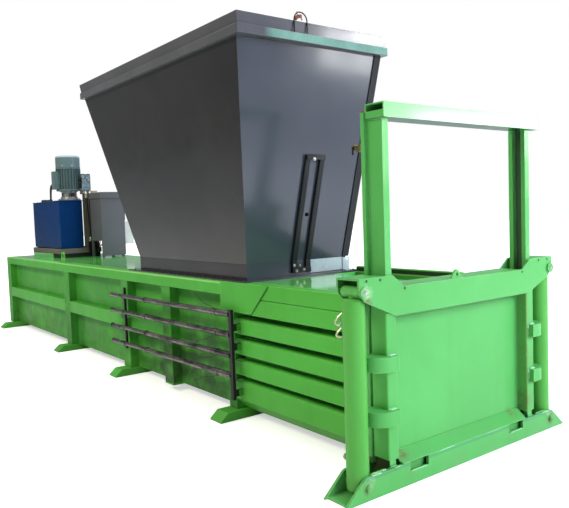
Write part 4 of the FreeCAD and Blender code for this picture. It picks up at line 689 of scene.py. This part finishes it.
# Seams of the body: wide ribs, the middle rail, the gusset and the chamber beams.
bm = bmesh.new()
for side in SIDES:
    for rib in WIDE_RIBS:
        for edge in (rib, rib + RIB_WIDTH):
            for z in RAIL_EDGES:
                weld(bm, [(at(edge), side * 0.611, z - 0.05), (at(edge), side * 0.611, z + 0.05)])
    for z in RAIL_EDGES:
        for start, end in ((1.936, 2.828), (2.990, 3.748)):
            weld(bm, [(at(start), side * 0.521, z), (at(end), side * 0.521, z)], 0.004)
    weld(bm, [(at(1.292), side * 0.6205, 1.070), (at(1.513), side * 0.6205, 0.853),
              (at(1.80), side * 0.6205, 0.853)], 0.004)
    for z in CHAMBER_BEAMS:
        weld(bm, [(at(0.505), side * 0.611, z), (at(0.505), side * 0.611, z + 0.045)])
piece("body_welds", bm, "frame", MATS["green_paint"])

# Ends of the lift cylinders' pins, and grease plugs in the yoke.
bm = bmesh.new()
for side in SIDES:
    bolt(bm, (at(-0.014), side * PIN_Y, BASE_PIN_Z), AHEAD, 0.011)
    turned(bm, (at(0.204), side * PIN_Y, BASE_PIN_Z), BACK,
           [(0.024, -0.004), (0.026, 0.0), (0.026, 0.005), (0.022, 0.006)])
piece("base_pin_bolts", bm, "frame", WELD_GREEN)
bm = bmesh.new()
for y, z in ((-0.880, 1.216), (-0.775, 1.214), (-0.578, 1.150),
             (0.578, 1.150), (0.775, 1.214), (0.880, 1.216)):
    turned(bm, (at(0.0005), y, z), AHEAD,
           [(0.0075, -0.001), (0.0085, 0.0), (0.0085, 0.0010), (0.006, 0.0012)], 14)
piece("yoke_hole_plugs", bm, "gate", MATS["black_plastic"])
bm = bmesh.new()
for side in SIDES:
    bolt(bm, (at(-0.014), side * PIN_Y, YOKE_PIN_Z), AHEAD, 0.010, 0.006)
    for z in (0.962, 0.205):
        turned(bm, (at(0.172), side * PIN_Y, z), BACK,
               [(0.012, 0.0), (0.020, 0.002), (0.020, 0.012), (0.013, 0.014), (0.011, 0.020)], 6)
piece("gate_pin_bolts", bm, "gate", ZINC)

# The pale sheet on the hopper's skirt with its screws, the bolts of the sensor bracket's feet, the
# pale foot of the hopper's angle, and the bolts of the skirt's flange.
bm = bmesh.new()
box(bm, (at(1.6895), 0.118, 1.098), (at(1.6860), 0.470, 1.206), 0.001, 1)
piece("skirt_sheet", bm, "frame", SHEET)
bm = bmesh.new()
for y in (0.132, 0.293, 0.454):
    for z in (1.110, 1.194):
        bolt(bm, (at(1.6862), y, z), AHEAD, 0.005)
for s, y, z in ((1.666, -0.069, 1.172), (1.690, 0.008, 1.165), (1.660, -0.050, 1.125),
                (1.660, 0.026, 1.131), (1.690, -0.010, 1.135)):
    bolt(bm, (at(s), y, z), AHEAD, 0.009)
piece("skirt_bolts", bm, "frame", ZINC)
bm = bmesh.new()
box(bm, (at(1.692), 0.475, 1.0905), (at(1.682), 0.556, 1.200), 0.003)
box(bm, (at(1.692), 0.475, 1.0895), (at(1.640), 0.556, 1.097), 0.002)
piece("angle_foot", bm, "frame", SHEET)
bm = bmesh.new()
for k in range(14):
    for side in SIDES:
        bolt(bm, (at(1.66 + 0.15 * k), side * 0.575, 1.0895), UP, 0.009)
piece("flange_bolts", bm, "frame", MATS["dark_steel"])

# The sensor's lens on the bracket's tie.
bm = bmesh.new()
for rings in ([(0.013, -0.004), (0.014, 0.003), (0.014, 0.008), (0.011, 0.010)],
              [(0.010, 0.009), (0.010, 0.012), (0.007, 0.015), (0.003, 0.016)]):
    turned(bm, (at(1.528), 0.062, 2.026), AHEAD, rings, 24)
piece("sensor_lens", bm, "frame", MATS["box_plastic"])

# Two bent tie hooks beside the near post, the lower one smaller, with their bends smoothed.
bm = bmesh.new()
HOOK = [(0.470, -0.606, 0.976), (0.480, -0.630, 0.965), (0.497, -0.655, 0.935),
        (0.512, -0.664, 0.908), (0.500, -0.660, 0.892), (0.470, -0.640, 0.890),
        (0.450, -0.607, 0.893)]
HOOK_STATION, HOOK_Z = 0.475, 0.89
for drop, shrink in ((0.0, 1.0), (0.075, 0.8)):
    line = along([(at(HOOK_STATION) + (at(s) - at(HOOK_STATION)) * shrink, y,
                   HOOK_Z - drop + (z - HOOK_Z) * shrink) for s, y, z in HOOK], 0.006)
    for _ in range(3):
        inner = [(a + b * 2 + c) / 4 for a, b, c in zip(line, line[1:], line[2:])]
        line = [line[0]] + inner + [line[-1]]
    swept(bm, line, [0.0075] * len(line))
piece("tie_hooks", bm, "frame", CREAM)

# Clamp rings on the wire tubes, and nuts at their hangers.
bm = bmesh.new()
for k in range(TUBES):
    for s, reach in ((1.900, 0.028), (1.960, 0.026), (3.180, 0.028), (3.205, 0.026),
                     (3.680, 0.0245), (3.985, 0.0245)):
        turned(bm, (at(s), -0.682, tube_height(k, s)), (-1, 0, -TUBE_RISE),
               [(reach - 0.003, 0.0), (reach, 0.002), (reach, 0.012), (reach - 0.003, 0.014)], 20)
piece("tube_rings", bm, "frame", MATS["tube_steel"])

# Loose ends of baling wire at the front of the tubes.
bm = bmesh.new()
WIRE_POINTS = 24
for k, (run, drop) in enumerate(((0.34, 0.105), (0.40, -0.125), (0.46, -0.120), (0.40, -0.115))):
    start = tube_height(k, 1.89) + (0.024 if drop > 0 else -0.024)
    line = []
    for i in range(WIRE_POINTS):
        f = i / (WIRE_POINTS - 1)
        line.append((at(1.885 + run * f), -0.696 - 0.012 * math.sin(f * 3.0),
                     start + drop * f ** 1.25 + 0.006 * math.sin(f * 9 + k)))
    swept(bm, line, [0.0026] * WIRE_POINTS, 6)
piece("baling_wires", bm, "frame", MATS["dark_steel"])

# The rusty knot of wire on the hopper's hanging loop: three windings and two loose ends.
bm = bmesh.new()
HOOP, HOOP_RADIUS = Vector((at(1.3585), -0.172, 3.0105)), 0.062
KNOT_POINTS = 64
for turn in range(3):
    winding = 0.0075 + 0.002 * turn
    line = []
    for k in range(KNOT_POINTS):
        a = math.radians(84 + 62 * k / (KNOT_POINTS - 1))
        b = (9 + turn) * math.pi * 2 * k / (KNOT_POINTS - 1) + turn * 2
        radial = Vector((0, math.cos(a), math.sin(a)))
        line.append(HOOP + radial * (HOOP_RADIUS + winding * math.cos(b))
                    + Vector((winding * math.sin(b), 0, 0)))
    swept(bm, line, [0.0034] * KNOT_POINTS, 6)
for ends in (((0, -0.028, 0.060), (0.004, -0.036, 0.078), (0.0, -0.034, 0.092)),
             ((0, -0.010, 0.058), (0.006, 0.004, 0.046), (0.004, 0.012, 0.040),
              (0.002, 0.006, 0.034))):
    line = along([HOOP + Vector(p) for p in ends], 0.004)
    swept(bm, line, [0.0042] * len(line), 6)
piece("wire_knot", bm, "frame", RUSTY)

# Power pack: lid screws, motor and bell bolts, bell flange, breather and terminal lid.
bm = bmesh.new()
for s in (6.81, 6.97, 7.14, 7.30, 7.46, 7.62, 7.79, 7.95):
    for y in (-0.228, 0.082):
        bolt(bm, (at(s), y, 1.888), UP, 0.007)
piece("tank_lid_screws", bm, "frame", ZINC)
EIGHTHS = [k * math.pi / 4 for k in range(8)]
bm = bmesh.new()
for a in EIGHTHS:
    bolt(bm, (*round_motor(0.095, math.pi / 8 + a), 2.0252), DOWN, 0.007)
for a in EIGHTHS:
    bolt(bm, (*round_motor(0.170, a), 2.380), (math.cos(a), math.sin(a), 0), 0.006)
piece("motor_bolts", bm, "frame", ZINC)
bm = bmesh.new()
turned(bm, (MOTOR_X, MOTOR_Y, 1.8885), UP,
       [(0.150, -0.001), (0.156, 0.003), (0.156, 0.018), (0.150, 0.022), (0.122, 0.024),
        (0.118, 0.050), (0.112, 0.052)], 48)
for a in EIGHTHS:
    bolt(bm, (*round_motor(0.139, math.pi / 8 + a), 1.911), UP, 0.007)
piece("bell_flange", bm, "frame", ZINC)
bm = bmesh.new()
turned(bm, (at(7.84), -0.100, 1.8885), UP,
       [(0.036, -0.001), (0.036, 0.010), (0.047, 0.012), (0.050, 0.016), (0.050, 0.034),
        (0.045, 0.040), (0.020, 0.043)], 32)
piece("breather_cap", bm, "frame", MATS["black_plastic"])
bm = bmesh.new()
box(bm, (-2.900, -0.2490, 2.046), (-2.784, -0.2445, 2.304), 0.002)
for x in (-2.890, -2.794):
    for z in (2.060, 2.290):
        bolt(bm, (x, -0.2490, z), NEAR, 0.005)
piece("terminal_lid", bm, "frame", MATS["motor_paint"])

# Glands of the motor cables, and the caps of the valves' coils and ports.
bm = bmesh.new()
for y, x in zip(MOTOR_CABLES, (-3.090, -3.150)):
    turned(bm, (-2.927, y, 2.125), BACK,
           [(0.014, -0.004), (0.014, 0.010), (0.0115, 0.012), (0.0105, 0.026)], 6)
    turned(bm, (x, y, 1.889), UP, [(0.018, -0.002), (0.018, 0.008), (0.014, 0.010), (0.012, 0.030)])
for y in (0.110, 0.185):
    box(bm, (at(6.862), y - 0.008, 2.245), (at(6.745), y + 0.030, 2.262), 0.004)
box(bm, (at(6.850), 0.088, 2.060), (at(6.745), 0.0945, 2.215), 0.003)
for z in (2.085, 2.135, 2.185):
    turned(bm, (at(6.800), 0.089, z), NEAR,
           [(0.020, 0.0), (0.020, 0.012), (0.015, 0.016), (0.012, 0.024)], 18)
piece("valve_caps", bm, "frame", MATS["black_plastic"])

# Small ports and the elbows and nuts of the pressure hoses.
bm = bmesh.new()
for k in range(4):
    turned(bm, (at(6.743), 0.115 + 0.025 * k, 2.205 - 0.035 * (k % 2)), AHEAD,
           [(0.012, -0.002), (0.012, 0.008), (0.008, 0.010), (0.006, 0.014)], 6)
for y in PRESSURE_HOSES:
    turned(bm, (at(6.758), y, 1.998), AHEAD,
           [(0.024, -0.010), (0.026, -0.006), (0.026, 0.006), (0.022, 0.010)], 6)
    swept(bm, [(at(6.752), y, 1.998), (at(6.744), y, 1.997), (at(6.738), y, 1.993),
               (at(6.734), y, 1.986), (at(6.732), y, 1.976), (at(6.732), y, 1.955)],
          [0.0165] * 6, 16)
    for far, nut, sleeve in ((y, 1.945, 1.945 - 0.028), (y + 0.035, 1.292, 1.292 + 0.028)):
        turned(bm, (at(HOSE_STATION), far, nut), UP,
               [(0.020, -0.002), (0.0225, 0.002), (0.0225, 0.026), (0.020, 0.030)], 6)
        turned(bm, (at(HOSE_STATION), far, sleeve), UP,
               [(0.019, -0.002), (0.0202, 0.0), (0.0202, 0.030), (0.019, 0.032)], 20)
piece("hose_fittings", bm, "frame", ZINC)

# Four screws in the operator box on the far side.
bm = bmesh.new()
for s in (6.345, 6.545):
    for z in (1.255, 1.545):
        turned(bm, (at(s), 0.6575, z), FAR, [(0.007, -0.001), (0.007, 0.002), (0.005, 0.003)], 12)
piece("box_screws", bm, "door", ZINC)


def route(name, points):
    """A curve with one smooth spline, whose control points are the points of a route."""
    curve = bpy.data.curves.new(name, "CURVE")
    curve.dimensions = "3D"
    curve.resolution_u = 16
    spline = curve.splines.new("NURBS")
    spline.points.add(len(points) - 1)
    for point, place in zip(spline.points, points):
        point.co = (*place, 1.0)
    spline.order_u = 3
    spline.use_endpoint_u = True
    return curve


def hose(name, points, radius, mat):
    """A hose or cable along the route of its solid, as long as its own centre line."""
    curve = route(name, points)
    curve.bevel_depth = radius
    curve.bevel_resolution = 4
    curve.use_fill_caps = True
    curve.materials.append(mat)
    obj = bpy.data.objects.new(name, curve)
    bpy.context.scene.collection.objects.link(obj)
    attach(obj, "frame")
    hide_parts("hoses_and_cables")
    bare = bpy.data.objects.new("line", route("line", points))
    line = [v.co.copy() for v in bpy.data.meshes.new_from_object(bare).vertices]


RUBBER = MATS["black_rubber"]
for k, y in enumerate(PRESSURE_HOSES):
    x = at(HOSE_STATION)
    hose("pressure_hose_%d" % (k + 1),
         [(x, y, 1.955), (x, y, 1.738), (x, y + 0.035, 1.420), (x, y + 0.035, 1.290)],
         0.018, RUBBER)
for k, y in enumerate(MOTOR_CABLES):
    x = -3.090 - 0.060 * k
    hose("motor_cable_%d" % (k + 1),
         [(-2.927, y, 2.125), (-3.010, y, 2.130), (x, y, 2.070), (x, y, 1.888)],
         0.0095, RUBBER)
for k, y in enumerate(CABINET_CABLES):
    far_x, near_x = -2.542 + 0.045 * k, -2.666 - 0.009 * k
    hose("cabinet_cable_%d" % (k + 1),
         [(far_x, y, 1.300), (far_x, y, 1.230), (near_x, y, 1.230), (near_x, y, 1.134)],
         0.007, RUBBER)

# ---- stage, light and camera ---------------------------------------------------------------------
SCENE = bpy.context.scene
SCENE.view_settings.view_transform = "Standard"
FLOOR_SIZE = 120
SEEN, MIRRORED, THROUGH = "Is Camera Ray", "Is Glossy Ray", "Is Transmission Ray"


def stage_material():
    """A pale floor that the camera sees white further off, and that lights mirrors in front."""
    m = Nodes("studio_floor")
    m.tree.nodes.remove(m.shader)
    diffuse = m.add("ShaderNodeBsdfDiffuse")
    tone = m.ramp(m.noise(0.6, 3, 0.5), 0.3, 0.7)
    m.feed(m.mix(tone, (0.80, 0.80, 0.80), (0.84, 0.84, 0.84)), diffuse, "Color")
    glow = m.add("ShaderNodeEmission")
    path = m.add("ShaderNodeLightPath")
    m.feed(m.mix((path, SEEN), (0.80, 0.89, 1.0), (1, 1, 1)), glow, "Color")
    far = m.add("ShaderNodeVectorMath", operation="LENGTH")
    m.link(m.coords, "Object", far, 0)
    direct = m.product((path, SEEN), m.ramp((far, "Value"), 5.0, 11.0, 0.54, 1.0))
    reflected = m.math("MAXIMUM", (path, MIRRORED), (path, THROUGH))
    ahead = m.math("ADD", m.coordinate("X"), m.coordinate("Y"))
    lit = m.product(reflected, m.ramp(ahead, 8.0, 22.0, 0.05, 0.62))
    m.feed(m.math("ADD", direct, lit), glow, "Strength")
    add = m.add("ShaderNodeAddShader")
    m.link(diffuse, 0, add, 0)
    m.link(glow, 0, add, 1)
    m.link(add, 0, m.out, "Surface")
    return m.mat


half = FLOOR_SIZE / 2
mesh = bpy.data.meshes.new("studio_floor")
mesh.from_pydata([(-half, -half, 0), (half, -half, 0), (half, half, 0), (-half, half, 0)], [],
                 [(0, 1, 2, 3)])
mesh.materials.append(stage_material())
floor = bpy.data.objects.new("studio_floor", mesh)
SCENE.collection.objects.link(floor)


def studio_world():
    """White to the camera, and a soft cool sky, brighter above and on the far side, to the rest."""
    world = bpy.data.worlds.new("studio")
    SCENE.world = world
    world.use_nodes = True
    tree = world.node_tree
    tree.nodes.clear()
    link = tree.links.new
    place = tree.nodes.new("ShaderNodeTexCoord")
    split = tree.nodes.new("ShaderNodeSeparateXYZ")
    link(place.outputs["Generated"], split.inputs[0])
    both = tree.nodes.new("ShaderNodeMath")
    both.operation = "MULTIPLY"
    for i, (axis, *limits) in enumerate((("Z", 0.0, 0.8, 0.30, 0.75), ("Y", -0.9, 0.5, 0.45, 1.0))):
        fade = tree.nodes.new("ShaderNodeMapRange")
        for name, limit in zip(("From Min", "From Max", "To Min", "To Max"), limits):
            fade.inputs[name].default_value = limit
        link(split.outputs[axis], fade.inputs["Value"])
        link(fade.outputs[0], both.inputs[i])
    soft = tree.nodes.new("ShaderNodeBackground")
    soft.inputs["Color"].default_value = (0.88, 0.94, 1.0, 1)
    link(both.outputs[0], soft.inputs["Strength"])
    white = tree.nodes.new("ShaderNodeBackground")
    white.inputs["Color"].default_value = (1, 1, 1, 1)
    white.inputs["Strength"].default_value = 1.0
    path = tree.nodes.new("ShaderNodeLightPath")
    blend = tree.nodes.new("ShaderNodeMixShader")
    link(path.outputs[SEEN], blend.inputs[0])
    link(soft.outputs[0], blend.inputs[1])
    link(white.outputs[0], blend.inputs[2])
    out = tree.nodes.new("ShaderNodeOutputWorld")
    link(blend.outputs[0], out.inputs["Surface"])


studio_world()


def lamp(name, where, to, size, energy, colour, roll=0.0):
    light = bpy.data.lights.new(name, "AREA")
    light.shape = "RECTANGLE"
    light.size, light.size_y = size
    light.energy = energy
    light.color = colour
    obj = bpy.data.objects.new(name, light)
    obj.location = where
    aim = (Vector(to) - Vector(where)).to_track_quat("-Z", "Y")
    obj.rotation_euler = (aim @ Quaternion((0, 0, 1), math.radians(roll))).to_euler()
    SCENE.collection.objects.link(obj)
    return obj


# The cards are what the hopper's front, the gate's frame and the rim mirror in the photograph.
CARD_WHITE = (1.0, 0.99, 0.99)
gate_light = lamp("gate_light", (12.0, 3.0, 5.5), (3.0, 0, 1.2), (6, 5), 1180, (0.90, 1.0, 1.22))
gate_light.visible_glossy = False
for row in (
    ("side_light", (1.0, -9.4, 9.6), (0.5, 0, 0.8), (8, 3), 920, (1.0, 0.96, 0.72)),
    ("roof_light", (-1.0, 1.0, 9.0), (0, 0, 1.0), (12, 4), 460, (0.97, 1.0, 1.05)),
    ("card_light", (9.2, 6.9, 2.95), (2.7, 0.4, 2.5), (2.2, 0.9), 60, (0.95, 0.98, 1.0)),
    ("beam_card", (13.0, 11.9, 4.06), (4.1, 0.0, 2.15), (5.0, 0.60), 34, CARD_WHITE, -9.8),
    ("beam_end_card", (14.2, 11.0, 4.31), (4.1, -0.4, 2.15), (2.2, 0.7), 24, CARD_WHITE, -9.8),
    ("post_card", (14.9, 10.48, 3.3), (4.07, -0.68, 1.9), (0.7, 1.7), 22, CARD_WHITE),
    ("far_post_card", (11.5, 12.8, 2.9), (4.07, 0.68, 1.8), (0.6, 2.2), 20, CARD_WHITE),
    ("rim_card", (13.0, 10.9, 3.62), (2.7, 0.5, 3.0), (2.0, 0.3), 40, (1, 1, 1)),
):
    lamp(*row)

# The camera that was solved from the machine's straight edges.
PHOTO_WIDTH, FOCAL_PIXELS, SENSOR = 569, 661.578, 36
EYE = (FRONT + 2.5754, -3.3864, 1.6)
VIEW_ANGLES = (142.788, -3.532, -1.963)


def camera():
    yaw, pitch, roll = (math.radians(v) for v in VIEW_ANGLES)
    ahead = Vector((math.cos(yaw) * math.cos(pitch), math.sin(yaw) * math.cos(pitch),
                    math.sin(pitch)))
    right = Vector((math.sin(yaw), -math.cos(yaw), 0))
    up = right.cross(ahead)
    side = right * math.cos(roll) + up * math.sin(roll)
    top = up * math.cos(roll) - right * math.sin(roll)
    data = bpy.data.cameras.new("photo_view")
    data.sensor_width = SENSOR
    data.lens = SENSOR * FOCAL_PIXELS / PHOTO_WIDTH
    data.clip_end = 400
    obj = bpy.data.objects.new("photo_view", data)
    rot = Matrix((side, top, -ahead)).transposed().to_4x4()
    obj.matrix_world = Matrix.Translation(EYE) @ rot
    SCENE.collection.objects.link(obj)
    SCENE.camera = obj


camera()
